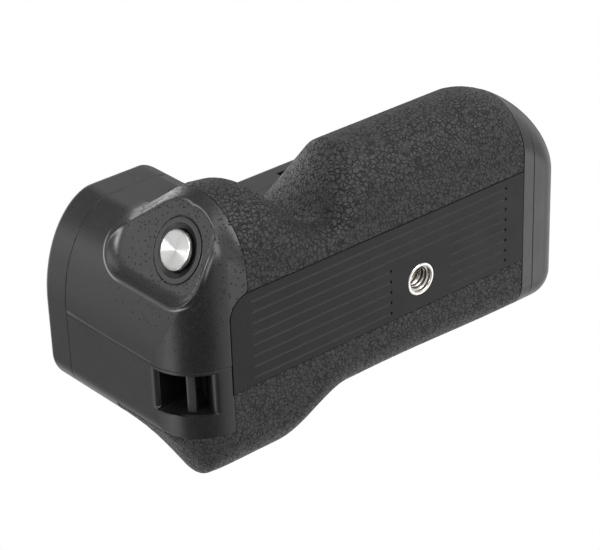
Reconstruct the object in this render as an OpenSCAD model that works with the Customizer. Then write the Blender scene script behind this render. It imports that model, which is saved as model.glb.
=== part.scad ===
// Camera battery grip with a vertical shutter release, a sliding battery tray and a
// thumbwheel that drives the camera screw. Sizes are in millimetres. The base lies on z = 0,
// the front faces -y, the shutter end faces -x, and the origin is the mouth of the tripod socket.

/* [Casing] */
// Distance from the tripod socket to the shutter end
shutter_end = 75; // [74:0.5:80]
// Distance from the tripod socket to the tray end
tray_end = 52.4; // [52:0.1:56]
// Height of the seam under the top plate
seam_z = 48; // [47.5:0.5:52]
// Thickness of the top plate
top_t = 9; // [8.5:0.5:12]
// Wall thickness of the casing
wall = 2; // [1.6:0.1:2.2]
// Thickness of the rubber skins and the base pad
skin_t = 1.5; // [1:0.1:1.7]
// Glue gap around skins, pad and inserts
fit_gap = 0.1; // [0.05:0.05:0.15]
// Running gap between moving pieces
run_gap = 0.35; // [0.3:0.05:0.45]
// Radial clearance of a turning or sliding fit
bearing_gap = 0.05; // [0.02:0.01:0.1]

/* [Front grip] */
// Depth of the front wall below the lens
front_y = 12.2; // [12.1:0.1:13]
// Depth of the front wall at the hand grip
grip_y = 27.8; // [27:0.1:29]
// Distance from the tripod socket to where the hand grip starts to fall back
grip_from = 45; // [42:1:48]
// Distance from the tripod socket to where it has fallen back to the front wall
grip_to = 25; // [22:1:28]
// Depth of the nose and of the finger bulge
nose_y = 39.5; // [38:0.5:42]
// Radius of the nose of the finger bulge
nose_r = 14; // [12:0.5:15]
// Radius of the nose at the seam of the shutter end
nose_root_r = 16.5; // [15:0.5:18]
// Radius of the nose beside the shutter release
nose_end_r = 6.2; // [5:0.2:8]
// Distance from the tripod socket to the finger valley
valley_x = 28; // [26:1:30]
// Length of the valley's slope on the shutter side
valley_left = 22; // [16:1:23]
// Length of the valley's slope on the bulge side
valley_right = 12.5; // [11:0.5:15]
// Depth of the finger valley
valley_drop = 15.5; // [10:0.5:15.5]
// Edge radius at the base of the finger valley
valley_r = 5.7; // [4.5:0.1:5.8]
// Height where the hand grip's shoulder meets the front wall
grip_shoulder_z = 37.4; // [36:0.2:40]
// Height where the finger bulge's shoulder meets the front wall
bulge_shoulder_z = 46.5; // [46:0.1:47]
// Distance from the tripod socket to where the bulge starts to round off
bulge_end = 26; // [22:1:28]
// Depth of the bulge at the tray end
bulge_end_y = 15.5; // [12:0.5:16]

/* [Rear grip] */
// Depth of the rear wall
rear_y = 23.7; // [23.5:0.1:24]
// Height of the thumb rest above the rear wall
thumb_y = 8; // [4:0.5:9]
// Height of the gentle swell of the rear wall's foot at the tray end
swell_y = 1.3; // [0:0.1:1.6]
// Edge radius along the rear of the base
rear_r = 9.3; // [8.5:0.1:9.3]
// Height of the rear rubber's upper edge
rear_rubber_z = 30; // [27:0.5:32]
// Depth where the rubber starts on the shutter end
end_rubber_y = 18.5; // [17.5:0.1:18.5]

/* [Ends] */
// Edge radius between the base and the shutter end
end_r = 14; // [13:0.5:15]
// Length of the hand grip's plan corner along the body
grip_corner_x = 14.8; // [12:0.1:15]
// Length of the flat end face in front of the parting plane
end_flat = 1.2; // [1:0.1:5]
// Outward lean of the shutter end over the full height
end_lean = 1; // [0:0.1:1.5]
// Plan corner radius at the rear of the shutter end
rear_corner_r = 8.5; // [7:0.5:9]
// Edge radius between the base and the tray end
tray_end_r = 9; // [8:0.5:10]
// Plan corner radius at the tray end
tray_corner_r = 8; // [6:0.5:9]
// Rounding of the top plate's upper edge
top_edge_r = 1.2; // [0.8:0.1:2]

/* [Seams] */
// Distance from the tripod socket to the front rubber's seam
front_seam = 56; // [55:0.5:57]
// Distance from the tripod socket to the pad's and rear rubber's seam
rear_seam = 61.5; // [61:0.1:62]
// Distance from the tripod socket to the end frame
frame_seam = 36.8; // [36:0.1:38]
// Thickness of the end frame
frame_t = 3.5; // [3:0.1:4]
// Gap around the tray's end cap
cap_gap = 0.3; // [0.25:0.05:0.4]

/* [Base pad] */
// Front edge of the pad
pad_front = 17.7; // [16:0.1:18]
// Rear edge of the pad
pad_rear = 8.2; // [7:0.1:10]
// Corner radius of the pad next to the shutter
pad_corner = 6; // [4:0.5:7]
// Distance between grooves
groove_pitch = 3; // [2.8:0.1:3.1]
// Width of a groove
groove_w = 0.5; // [0.4:0.1:0.8]
// Depth of a groove
groove_d = 0.35; // [0.2:0.05:0.5]
// Number of grooves
groove_count = 8; // [6:1:8]
// Number of grooves that run past the tripod socket unbroken
groove_long = 3; // [2:1:3]
// Distance from the pad's edge to the first groove
groove_edge = 2.6; // [2:0.1:3]
// Distance from the pad's ends to the groove ends
groove_end = 6.6; // [5:0.1:8]
// Half length of the plain field around the tripod socket
groove_field = 10.4; // [9:0.1:12]

/* [Tripod socket] */
// Wall radius of the quarter-inch socket
socket_r = 3.175; // [3.1:0.005:3.2]
// Outer radius of the insert
insert_r = 4.5; // [4.2:0.1:4.8]
// Depth of the socket
socket_depth = 5.6; // [5:0.1:5.8]
// Height of the insert
insert_h = 6.2; // [6.1:0.1:6.6]
// Radius of the insert's flange inside the casing
insert_flange_r = 6.5; // [6:0.1:7.5]
// Thickness of the insert's flange
insert_flange_t = 1.5; // [1:0.1:2]

/* [Shutter release] */
// Distance from the tripod socket to the release along the body
button_x = 64.9; // [64.5:0.1:65.5]
// Depth of the release in front of the parting plane
button_y = 26.9; // [26:0.1:27.5]
// Height of the release above the base
button_z = 14.4; // [13.5:0.1:15.5]
// Tilt of the release from the body's length towards the front
button_tilt = 27.8; // [26:0.2:30]
// Reach of the finger pocket towards the end face
pocket_left = 13.4; // [12.5:0.1:14]
// Reach of the finger pocket towards the base
pocket_low = 13.1; // [12.5:0.1:13.5]
// Reach of the finger pocket towards the top
pocket_high = 23.6; // [22:0.1:24]
// Corner radius of the finger pocket
pocket_corner = 9; // [8:0.1:10]
// Fillet at the floor of the finger pocket
pocket_fillet = 4; // [3:0.1:5]
// Radius of the metal cap
release_r = 5; // [4.6:0.1:5.4]
// Height of the metal cap's rim above the pocket floor
release_rise = 1.2; // [1.2:0.1:1.6]
// Thickness of the metal cap
release_cap_t = 1.1; // [1:0.1:1.2]
// Travel of the release
release_travel = 1.2; // [0.8:0.1:1.2]
// Radius of the release's stem
stem_r = 2.5; // [2:0.1:2.8]
// Outer radius of the collar
collar_r = 8; // [7.6:0.1:8.4]
// Height of the collar's body
collar_t = 2.5; // [2.2:0.1:3]
// Radius of the spring's coil
spring_r = 3.4; // [3.3:0.05:3.6]
// Radius of the spring's wire
spring_wire = 0.25; // [0.2:0.05:0.3]
// Turns of the spring
spring_turns = 4; // [3:1:5]
// Depth of the spring's well below the collar
well_depth = 3.5; // [3:0.1:4]
// Thickness of the web that guides the stem
web_t = 2.5; // [2:0.1:3]

/* [Strap slot] */
// Start of the slot behind the parting plane
slot_from = 0.9; // [0.8:0.1:1.5]
// Length of the slot
slot_len = 11.1; // [10:0.1:12]
// Radius of the slot's inner wall about the edge's centre
slot_inner_r = 5.5; // [5:0.1:6]
// Angle of the slot's upper jamb above the horizontal
slot_start = -3; // [-5:1:0]
// Angle of the slot's lower jamb
slot_stop = 73; // [70:1:75]
// Angle of the strap bar
bar_angle = 42; // [38:1:46]
// Width of the strap bar
bar_w = 2.2; // [1.8:0.1:2.6]
// Thickness of the strap bar
bar_t = 1.8; // [1.5:0.1:2]
// Depth of the strap bar behind the casing's surface
bar_back = 2; // [1.5:0.1:2.4]
// Depth of the strap bar's sockets
bar_socket = 0.7; // [0.5:0.1:0.8]

/* [Camera screw] */
// Distance of the screw from the tripod socket along the body
mount_x = 8; // [6:0.5:10]
// Distance of the screw behind the parting plane
mount_y = 7.2; // [7:0.1:7.4]
// Radius of the camera screw
screw_r = 3.175; // [3.1:0.005:3.2]
// Length of the camera screw above the mat
screw_len = 4.5; // [4:0.1:5.5]
// Radius of the thumbwheel
wheel_r = 17.8; // [17.6:0.1:18]
// Thickness of the thumbwheel
wheel_t = 4.4; // [4:0.1:4.6]
// Number of ribs on the thumbwheel
wheel_ribs = 60; // [40:2:72]
// Radius of the screw's lower pivot
pivot_r = 2.5; // [2:0.1:2.8]
// Thickness of the retainer under the thumbwheel
retainer_t = 1.6; // [1.4:0.1:2]

/* [Camera side] */
// Thickness of the mat under the camera
mat_t = 0.8; // [0.6:0.1:1]
// Length of the contact block
block_l = 16; // [14:0.5:18]
// Width of the contact block
block_w = 7; // [6:0.5:8]
// Height of the contact block above the top plate
block_h = 3; // [2:0.1:4]
// Distance from the tripod socket to the contact block
block_x = 40; // [38:0.5:42]
// Number of contact pins
pin_count = 6; // [4:1:7]
// Radius of a contact pin
pin_r = 0.6; // [0.5:0.05:0.7]
// Travel of the contact pins
pin_travel = 0.8; // [0.5:0.1:1]
// Radius of a guide pin
guide_r = 1.5; // [1.2:0.1:1.8]
// Height of a guide pin above the top plate
guide_h = 3.2; // [2.5:0.1:4]
// Distance of the guide pins from the camera screw
guide_span = 30; // [28:0.5:32]

/* [Rear controls] */
// Height of the rear controls
control_z = 39; // [38.5:0.1:39.5]
// Distance from the tripod socket to the command dial
dial_x = 53; // [52.5:0.1:53.5]
// Radius of the command dial
dial_r = 8; // [7.5:0.1:8.3]
// Thickness of the command dial
dial_t = 5; // [4:0.1:5.4]
// Reach of the command dial beyond the rear wall
dial_out = 2.4; // [1.8:0.1:2.8]
// Number of ribs on the command dial
dial_ribs = 28; // [20:2:36]
// Radius of the dial's shaft
shaft_r = 1.2; // [1:0.05:1.4]
// Distance from the tripod socket to the first button
buttons_x = 39; // [38.5:0.1:39.5]
// Distance between the two buttons
buttons_pitch = 9; // [8.8:0.1:9.5]
// Radius of a button
key_r = 3.1; // [2.8:0.1:3.2]
// Reach of a button beyond the rear wall
key_out = 1.1; // [0.9:0.1:1.3]
// Travel of a button
key_travel = 0.7; // [0.4:0.1:0.7]
// Distance from the tripod socket to the lock switch
lock_x = 19.3; // [19.1:0.1:19.4]
// Travel of the lock switch
lock_travel = 3; // [2:0.5:3.5]
// Length of the lock switch's knob
lock_l = 7; // [6:0.5:8]
// Height of the lock switch's knob
lock_h = 4; // [3.5:0.1:4.5]
// Width of the lock switch's stem
lock_stem = 2; // [1.6:0.1:2.4]

/* [Battery tray] */
// Length of a battery
battery_l = 48.5; // [46:0.1:48.5]
// Width of a battery
battery_w = 12.5; // [12:0.1:12.5]
// Height of a battery
battery_h = 32.5; // [31:0.1:32.5]
// Play around a battery in the tray
battery_play = 0.2; // [0.1:0.05:0.2]
// Wall thickness of the tray
tray_wall = 1; // [0.8:0.1:1]
// Height of the tray's sides above its floor
tray_side = 11; // [8:0.5:12]
// Wall thickness of the battery chamber
chamber_wall = 1.2; // [1:0.1:1.2]
// Radius of the latch knob
latch_r = 7.9; // [7:0.1:8]
// Radius of the latch spindle
spindle_r = 2; // [1.6:0.1:2.2]
// Reach of the latch cam from its spindle
cam_reach = 13.5; // [13:0.1:13.5]
// Width of the latch cam
cam_w = 4.8; // [4:0.1:5]
// Thickness of the latch cam
cam_t = 2; // [1.6:0.1:2.2]

/* [Boards and screws] */
// Thickness of the circuit boards
board_t = 1.6; // [1.2:0.1:1.6]
// Length of the main board
board_l = 33; // [30:0.5:34]
// Width of the main board
board_w = 24; // [20:0.5:25]
// Shank radius of the case screws
case_screw_r = 1; // [0.8:0.05:1.1]
// Head radius of the case screws
case_head_r = 2; // [1.8:0.1:2.2]
// Length of the case screws' thread in the casing
case_screw_grip = 4; // [3:0.1:4.2]

/* [Hidden] */
$fn = 48;
FRONT = -1;
REAR = 1;
eps = 0.01;

// Overshoot of cuts and least distance between stations
over = 1;

// Steps along the curved parts of a casing section
arc_steps = 8;
top_z = seam_z + top_t;
cap_seam = frame_seam + frame_t;
cap_face = cap_seam + cap_gap;
shell_in = skin_t + wall;
thumb_start = shutter_end - 1;
thumb_full = 67.3;
thumb_hold = 46;
thumb_stop = 22.5;
swell_from = 12;
nose_fade_to = 53.3;
nose_root_from = 42;
nose_end_x = 65.2;
shoulder_from = 35;
shoulder_to = 5;
end_rubber_x = shutter_end - 2;
roundness = 1.65;
corner_power = 1.9;
edge_gap = 0.3;

// Easing functions for the casing's curves
function clamp01(t) = max(0, min(1, t));
function ease(t) = let (u = clamp01(t)) u * u * (3 - 2 * u);
function drop(t, p = 2) = 1 - pow(max(0, 1 - pow(clamp01(t), p)), 1 / p);
function spread(a, b, n) = [for (i = [0:n]) a + (b - a) * i / n];
function spread_end(a, b, n) = [for (i = [0:n]) a + (b - a) * (1 - cos(90 * i / n))];
function backwards(list) = [for (i = [len(list) - 1:-1:0]) list[i]];
function joined(lists) = [for (list = lists) each list];

// Finger valley, one at its lowest line and zero on the crests
function dip(x) =
    let (t = x + valley_x)
    (1 + cos(180 * clamp01(t < 0 ? -t / valley_left : t / valley_right))) / 2;

// Upright walls in plan, as distances from the parting plane
function front_wall(x) =
    grip_y - (grip_y - front_y) * ease((x + grip_from) / (grip_from - grip_to))
    - (grip_y - end_flat) * drop((-x - shutter_end + grip_corner_x) / grip_corner_x, corner_power)
    - tray_corner_r * drop((x - tray_end + tray_corner_r) / tray_corner_r);
function rear_wall(x) =
    rear_y
    - rear_corner_r * drop((-x - shutter_end + rear_corner_r) / rear_corner_r)
    - tray_corner_r * drop((x - tray_end + tray_corner_r) / tray_corner_r);

// Greatest depth of each section
function nose_line(x) =
    nose_y - valley_drop * dip(x)
    - (nose_y - bulge_end_y) * drop((x - bulge_end) / (tray_end - bulge_end + skin_t / 3), roundness);
function front_depth(x) =
    let (w = front_wall(x))
    w + (nose_line(x) - w) * ease((x + shutter_end) / (shutter_end - nose_fade_to));
function thumb(x) =
    ease((x + thumb_start) / (thumb_start - thumb_full))
    * (1 - ease((x + thumb_hold) / (thumb_hold - thumb_stop)));
function rear_depth(x) =
    rear_wall(x) + thumb_y * thumb(x) + swell_y * ease((x + swell_from) / (swell_from + frame_seam));

// Height of the base, which rises at both ends
function base_z(x) =
    end_r * drop((-x - shutter_end + end_r) / end_r)
    + tray_end_r * drop((x - tray_end + tray_end_r) / tray_end_r);

// Section properties by side
function wall_at(x, side) = side == FRONT ? front_wall(x) : rear_wall(x);
function depth_at(x, side) = side == FRONT ? front_depth(x) : rear_depth(x);
function radius_at(x, side) =
    let (
        nose = nose_r - (nose_r - valley_r) * dip(x)
            + (nose_root_r - nose_r) * ease((-x - nose_root_from) / (front_seam - nose_root_from))
            + (nose_end_r - nose_root_r) * ease((-x - front_seam) / (nose_end_x - front_seam)),
        full = side == FRONT ? nose : rear_r
    )
    max(0.4, full - base_z(x));
function shoulder_at(x, side) =
    side == REAR ? rear_rubber_z
    : grip_shoulder_z + (bulge_shoulder_z - grip_shoulder_z)
        * ease((x + shoulder_from) / (shoulder_from - shoulder_to));
function rubber_edge(x, side) =
    side == FRONT ? min(pad_front, front_depth(x) - radius_at(x, FRONT) - edge_gap)
    : x > -rear_seam ? pad_rear
    : min(end_rubber_y, rear_depth(x) - radius_at(x, REAR) - edge_gap);

// Casing section from the parting plane's base line round the edge and up to the shoulder,
// set back by inset. Each point is [depth, height].
function section(x, side, inset = 0) =
    let (
        w = wall_at(x, side),
        r = radius_at(x, side),
        low = base_z(x),
        zw = shoulder_at(x, side),
        c = [depth_at(x, side) - r, low + r],
        v = [w, zw] - c,
        a = atan2(v.y, v.x) - acos(min(1, r / norm(v))),
        ri = max(0.05, r - inset),
        arc = [for (i = [0:arc_steps])
            let (t = -90 + (90 + a) * i / arc_steps)
            c + ri * [cos(t), sin(t)]],
        corner = [w - inset, zw - inset * tan(a / 2)]
    )
    concat(
        [[0, low + inset], [rubber_edge(x, side), low + inset]],
        arc,
        [(arc[arc_steps] + corner) / 2, corner]);
function lean(p) =
    let (amount = ease((-p.x - rear_seam) / (shutter_end - rear_seam)))
    [p.x - end_lean * p.z / top_z * amount, p.y, p.z];
function to_side(x, side, points) = [for (p = points) lean([x, side * p[0], p[1]])];

// Solid between a row of rings that have equal numbers of points. An end is closed either
// towards a point at its middle or between the two halves of its ring.
function middle(ring, high) =
    let (m = [for (k = [0:2]) let (v = [for (p = ring) p[k]]) (min(v) + max(v)) / 2])
    [m.x, m.y, is_undef(high) ? m.z : high];
module skin(rings, flip = false, thin = false, high = undef) {
    n = len(rings[0]);
    m = len(rings);
    last = (m - 1) * n;
    sides = [for (i = [0:m - 2], j = [0:n - 1])
        let (k = (j + 1) % n, a = i * n + j, b = i * n + k)
        each thin && j >= n / 2
            ? [[a, b, a + n], [b, b + n, a + n]]
            : [[a, b, b + n], [a, b + n, a + n]]];
    strips = [for (j = [0:n / 2 - 2])
        let (k = n - 1 - j)
        each [
            [j, k, j + 1], [j + 1, k, k - 1],
            [last + j, last + j + 1, last + k], [last + j + 1, last + k - 1, last + k]]];
    fans = [for (j = [0:n - 1])
        let (k = (j + 1) % n)
        each [[m * n, k, j], [m * n + 1, last + j, last + k]]];
    faces = concat(sides, thin ? strips : fans);
    points = concat(joined(rings), thin ? [] : [middle(rings[0], high), middle(rings[m - 1], high)]);
    polyhedron(points, flip ? [for (f = faces) backwards(f)] : faces);
}

// Stations along the body where the casing's form changes
valley_from = -valley_x - valley_left;
front_stations = concat(
    spread(-front_seam, valley_from, 2),
    [for (x = spread(valley_from, -valley_x + valley_right, 14)) if (x > valley_from) x],
    [-shoulder_to],
    spread(bulge_end, frame_seam, 4));
rear_stations = concat(
    [-rear_seam, -(rear_seam + thumb_hold) / 2],
    spread(-thumb_hold, -thumb_stop, 6),
    [frame_seam]);
edge_x = -shutter_end + end_r;
housing_stations = concat(
    [for (x = spread_end(-shutter_end, edge_x, 10)) if (x < -front_seam - over) x],
    [for (x = spread(edge_x, -front_seam, 5)) if (x > edge_x && x < -front_seam) x],
    [-front_seam]);
strap_stations = concat(
    spread_end(-shutter_end, -end_rubber_x - fit_gap / 2, 4),
    spread(-end_rubber_x + fit_gap / 2, -rear_seam, 7));
frame_stations = spread(frame_seam, cap_seam, 2);
cap_stations = concat(
    spread(cap_face, tray_end - tray_end_r, 1),
    [for (i = [1:7]) tray_end - tray_end_r * (1 - sin(90 * i / 7))]);
plan_stations = concat(
    housing_stations,
    spread(-grip_from, -grip_to, 9),
    [for (i = [0:6]) tray_end - tray_corner_r * (1 - sin(90 * i / 6))]);

// Shell, skin and whole-section rings
function shell_ring(x, side) =
    let (w = wall_at(x, side), zw = shoulder_at(x, side))
    to_side(x, side, concat(
        section(x, side, skin_t),
        [[w, zw + fit_gap], [w, seam_z], [w - wall, seam_z], [w - wall, zw + (seam_z - zw) / 8]],
        backwards(section(x, side, shell_in))));
function rubber_ring(x, side) =
    let (
        outer = section(x, side),
        inner = section(x, side, skin_t - fit_gap),
        edge = rubber_edge(x, side) + fit_gap
    )
    to_side(x, side, concat(
        [[edge, outer[1].y]],
        [for (i = [2:len(outer) - 1]) outer[i]],
        [for (i = [len(inner) - 1:-1:2]) inner[i]],
        [[edge, inner[1].y]]));
function half_ring(x, side) =
    to_side(x, side, concat(section(x, side), [[wall_at(x, side), seam_z], [0, seam_z]]));
function strap_ring(x) =
    let (
        w = rear_wall(x),
        skinned = x > -end_rubber_x,
        outer = section(x, REAR),
        inner = section(x, REAR, skinned ? skin_t : 0),
        edge = rubber_edge(x, REAR)
    )
    to_side(x, REAR, concat(
        [outer[0], outer[1], [edge + fit_gap / 2, inner[1].y]],
        [for (i = [2:len(inner) - 1]) inner[i]],
        [[w, rear_rubber_z + fit_gap], [w, seam_z], [0, seam_z]]));
function full_ring(x, high) = concat(
    to_side(x, FRONT, backwards(concat(section(x, FRONT), [[front_wall(x), high]]))),
    to_side(x, REAR, [for (p = concat(section(x, REAR), [[rear_wall(x), high]])) if (p[0] > 0) p]));
function plan_ring(z, inset) =
    let (
        mid = (tray_end - shutter_end) / 2,
        squeeze = 1 - 2 * inset / (tray_end + shutter_end)
    )
    concat(
        [for (x = plan_stations) lean([mid + (x - mid) * squeeze, -front_wall(x) + inset, z])],
        [for (x = backwards(plan_stations)) lean([mid + (x - mid) * squeeze, rear_wall(x) - inset, z])]);

// Places of the shutter release along its own axis, which points out of the pocket floor
well_z = -collar_t - well_depth;
web_z = well_z - web_t;
head_z = -1;
head_step = 0.2;
head_r = release_r - head_step;
clip_t = 0.6;
clip_out = 1.3;
clip_z = web_z - run_gap - clip_t;
stem_out = 1;
stem_z = clip_z - stem_out;
spring_play = 0.3;
switch_z = stem_z - release_travel - run_gap;
switch_body = 6;
switch_h = 3.6;
plunger_h = 0.8;
plunger_r = 1.5;
bracket_z = switch_z - plunger_h - switch_h;
bracket_half = 4.2;
leg_low = -6;
leg_high = 8;
leg_t = 1.2;
pocket_reach = 30;
pocket_depth = 16;
collar_lip = 0.3;
module at_release() {
    translate([-button_x, -button_y, button_z])
        rotate([90, 0, button_tilt - 90])
            children();
}

// Strap slot about the centre of the rounded edge
bar_r = end_r - bar_back;
bar_clear = 1.5;
bar_turn = min(bar_angle, acos(min(1, (rear_seam + bar_clear + bar_w / 2 + edge_x) / bar_r)));
module strap_sweep(from, length) {
    translate([edge_x, from + length, end_r])
        rotate([90, 0, 0])
            linear_extrude(length)
                children();
}

// Battery bay, worked out from the rear wall and the tripod insert
tray_w = 3 * tray_wall + 2 * (battery_w + 2 * battery_play);
bay_w = tray_w + 2 * run_gap;
chamber_w = bay_w + 2 * chamber_wall;
bay_y = rear_y - shell_in - fit_gap - chamber_w / 2;
chamber_z = max(insert_h, shell_in + insert_flange_t) + 0.2;
bay_z = chamber_z + chamber_wall;
tray_z = bay_z + run_gap;
battery_z = tray_z + tray_wall + fit_gap;
bay_h = run_gap + tray_wall + fit_gap + battery_h + run_gap + fit_gap;
chamber_h = bay_h + 2 * chamber_wall;
battery_end = cap_face - 4 * fit_gap;
battery_start = battery_end - battery_l;
tray_start = battery_start - battery_play - tray_wall;
bay_start = tray_start - run_gap - fit_gap;
chamber_start = bay_start - chamber_wall;
cell_pitch = battery_w + 2 * battery_play + tray_wall;
terminal_z = 7;
terminal_pitch = 3;

// Latch on the end cap
latch_z = seam_z - 11;
cap_top = seam_z - cap_gap;
knob_depth = 3.2;
cap_wall = 2;
knob_face = tray_end - knob_depth;
hollow_end = knob_face - cap_wall;
hollow_low = tray_z + tray_wall + tray_side + 2;
cam_x = hollow_end - run_gap - cam_t;
cam_sweep_r = norm([cam_reach, cam_w / 2]) + run_gap;

// Top plate's hollow and what lies in it
top_skin = 2.4;
plate_wall = 2.5;
grip_wall = 4;
hollow_z = top_z - top_skin;
hollow_left = -front_seam + wall;
hollow_right = frame_seam - plate_wall - fit_gap;
retainer_in = 0.8;
retainer_z = seam_z + retainer_in - retainer_t;
retainer_w = 24;
wheel_z = retainer_z + retainer_t + run_gap;
wheel_rib = 0.5;
post_r = 2.4;
post_gap = 0.6;
post_reach = wheel_r + run_gap + post_r + post_gap;
board_drop = 1.4;
board_z = seam_z - board_drop - board_t;
board_x = hollow_left + wall + board_l / 2;
board_y = 5;
board_post_in = 3;
board_corner = 1;
mat_top = top_z + mat_t;
screw_top = mat_top + screw_len;
screw_tip = 0.6;
shank_r = screw_r + screw_tip;
pivot_out = 0.3;
case_head_h = 1;
case_head_z = top_z - 1.4;
case_head_sink = 1.5;
case_tip_gap = 0.3;
frame_screw_y = 9;
case_screw_places = [
    [-front_seam - 4, -grip_y + 3],
    [-rear_seam - 3, rear_y - 2.8],
    [frame_seam + frame_t / 2, bay_y - frame_screw_y],
    [frame_seam + frame_t / 2, bay_y + frame_screw_y]];
guide_sink = 0.4;
guide_tip = 0.5;
guide_z = hollow_z + guide_sink;
pin_pitch = 2.1;
pin_tip = 0.2;
pin_out = 0.4;
block_corner = 1.5;
guide_places = [for (s = [-1, 1]) [mount_x + s * guide_span, mount_y]];

// Rear controls
dial_y = rear_y + dial_out - dial_r;
dial_z = control_z - dial_t / 2;
inner_y = rear_y - wall;
key_hole_r = key_r + run_gap;
flange_r = key_hole_r + 0.6;
flange_t = 1;
key_tip = 1;
key_chamfer = 0.4;
dome_h = 0.8;
key_board_y = inner_y - run_gap - flange_t - key_tip - key_travel - run_gap - dome_h;
lock_slot = lock_stem + lock_travel + 2 * run_gap;
slider_t = 1.2;
slider_lap = 0.3;
dial_rib = 0.6;
bracket_plate = 1.5;

// Outline with two sharp corners and one large round corner at the shutter side
module pad_outline(grow = 0) {
    x0 = -rear_seam - grow;
    x1 = frame_seam + grow;
    y0 = -pad_front - grow;
    y1 = pad_rear + grow;
    union() {
        translate([x0 + pad_corner, y0])
            square([x1 - x0 - pad_corner, y1 - y0]);
        translate([x0, y0 + pad_corner])
            square([pad_corner + eps, y1 - y0 - pad_corner]);
        translate([x0 + pad_corner, y0 + pad_corner])
            circle(pad_corner);
    }
}

// Ribbed disc
module ribbed_disc(r, h, ribs, depth) {
    linear_extrude(h)
        polygon([for (i = [0:2 * ribs - 1])
            (i % 2 == 0 ? r : r - depth) * [cos(180 * i / ribs), sin(180 * i / ribs)]]);
}

// Plate with rounded corners, centred on the origin
module rounded_plate(l, w, h, r) {
    linear_extrude(h)
        union() {
            square([l - 2 * r, w], center = true);
            square([l, w - 2 * r], center = true);
            for (sx = [-1, 1], sy = [-1, 1])
                translate([sx * (l / 2 - r), sy * (w / 2 - r)])
                    circle(r);
        }
}

// Front half of the casing, set back for the pad and the front rubber
module front_shell() {
    color("#2b2b2d")
        difference() {
            skin([for (x = front_stations) shell_ring(x, FRONT)], thin = true);
            translate([0, 0, -eps])
                cylinder(r = insert_r + fit_gap, h = shell_in + over);
        }
}

// Rear half of the casing, with openings for the rear controls
module rear_shell() {
    color("#2b2b2d")
        difference() {
            skin([for (x = rear_stations) shell_ring(x, REAR)], flip = true, thin = true);
            translate([0, 0, -eps])
                cylinder(r = insert_r + fit_gap, h = shell_in + over);
            translate([-dial_x, rear_y, control_z])
                cube([2 * dial_r, 4 * wall, dial_t + 2 * run_gap], center = true);
            for (i = [0, 1])
                translate([-buttons_x + i * buttons_pitch, rear_y - 2 * wall, control_z])
                    rotate([-90, 0, 0])
                        cylinder(r = key_hole_r, h = 4 * wall);
            translate([-lock_x + lock_travel / 2, rear_y, control_z])
                cube([lock_slot, 4 * wall, lock_stem + 2 * run_gap], center = true);
        }
}

// Pocket for the fingertip round the shutter release
module finger_pocket() {
    floor_r = pocket_corner - pocket_fillet;
    steps = 6;
    profile = concat(
        [[0, 0]],
        [for (i = [0:steps])
            let (t = 90 * i / steps)
            [floor_r + pocket_fillet * sin(t), pocket_fillet * (1 - cos(t))]],
        [[pocket_corner, pocket_depth], [0, pocket_depth]]);
    hull()
        for (u = [-pocket_left + pocket_corner, pocket_reach])
            for (v = [-pocket_low + pocket_corner, pocket_high - pocket_corner])
                translate([u, v, 0])
                    rotate_extrude($fn = 32)
                        polygon(profile);
}

// Front end of the casing, with the pocket and the guide of the shutter release
module shutter_housing() {
    hollow_floor = 8;
    hollow_end = -shutter_end + shell_in;
    hollow_seam = -front_seam + over;
    bracket_room = 12;
    color("#303032")
        difference() {
            skin([for (x = housing_stations) half_ring(x, FRONT)]);
            pad_recess();
            at_release() {
                finger_pocket();
                translate([0, 0, -collar_t])
                    cylinder(r = collar_r + fit_gap, h = pocket_depth);
                translate([0, 0, well_z])
                    cylinder(r = spring_r + 2 * spring_wire + spring_play, h = well_depth + over);
                translate([0, 0, web_z - over])
                    cylinder(r = stem_r + bearing_gap, h = web_t + 2 * over);
                translate([-bracket_half - over, leg_low - leg_t - over, bracket_z - bracket_room])
                    cube([
                        2 * bracket_half + 2 * over, leg_high - leg_low + 2 * leg_t + 2 * over,
                        web_z - bracket_z + bracket_room]);
            }
            translate([0, 0, hollow_floor])
                linear_extrude(seam_z - wall - hollow_floor)
                    polygon([
                        [hollow_seam, over], [hollow_end, over], [hollow_end, -2 * wall],
                        [edge_x, -button_y + 6 * wall], [hollow_seam, -grip_y + 3 * wall]]);
            case_screw_holes();
        }
}

// Seat of the pad in the end housings
module pad_recess() {
    translate([0, 0, -over])
        linear_extrude(skin_t + over)
            pad_outline(fit_gap);
}

// Pilot holes of the case screws
module case_screw_holes() {
    for (p = case_screw_places)
        translate([p.x, p.y, seam_z - case_screw_grip])
            cylinder(r = case_screw_r, h = 2 * case_screw_grip);
}

// Rear end of the casing, with the strap slot
module strap_housing() {
    hollow_floor = end_r + 8;
    hollow_mid = (hollow_floor + seam_z) / 2;
    hollow_end = -shutter_end + 2.5;
    color("#303032")
        difference() {
            skin([for (x = strap_stations) strap_ring(x)], flip = true, high = hollow_mid);
            pad_recess();
            strap_sweep(slot_from, slot_len)
                intersection() {
                    difference() {
                        circle(2 * end_r);
                        circle(slot_inner_r);
                    }
                    polygon([
                        [0, 0],
                        3 * end_r * [-cos(slot_start), -sin(slot_start)],
                        3 * end_r * [-1, -1],
                        3 * end_r * [-cos(slot_stop), -sin(slot_stop)]]);
                }
            strap_sweep(slot_from - bar_socket, slot_len + 2 * bar_socket) bar_outline(fit_gap / 2);
            translate([hollow_end, -over, hollow_floor])
                cube([shutter_end - rear_seam, end_rubber_y + over, seam_z - wall - hollow_floor]);
            case_screw_holes();
        }
}

// Section of the strap bar
module bar_outline(grow = 0) {
    rotate(180 + bar_turn)
        translate([bar_r - bar_t - grow, -bar_w / 2 - grow])
            square([bar_t + 2 * grow, bar_w + 2 * grow]);
}

// Bar that the strap loops round
module strap_bar() {
    color("#3a3a3c")
        strap_sweep(slot_from - bar_socket, slot_len + 2 * bar_socket) bar_outline();
}

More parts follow.
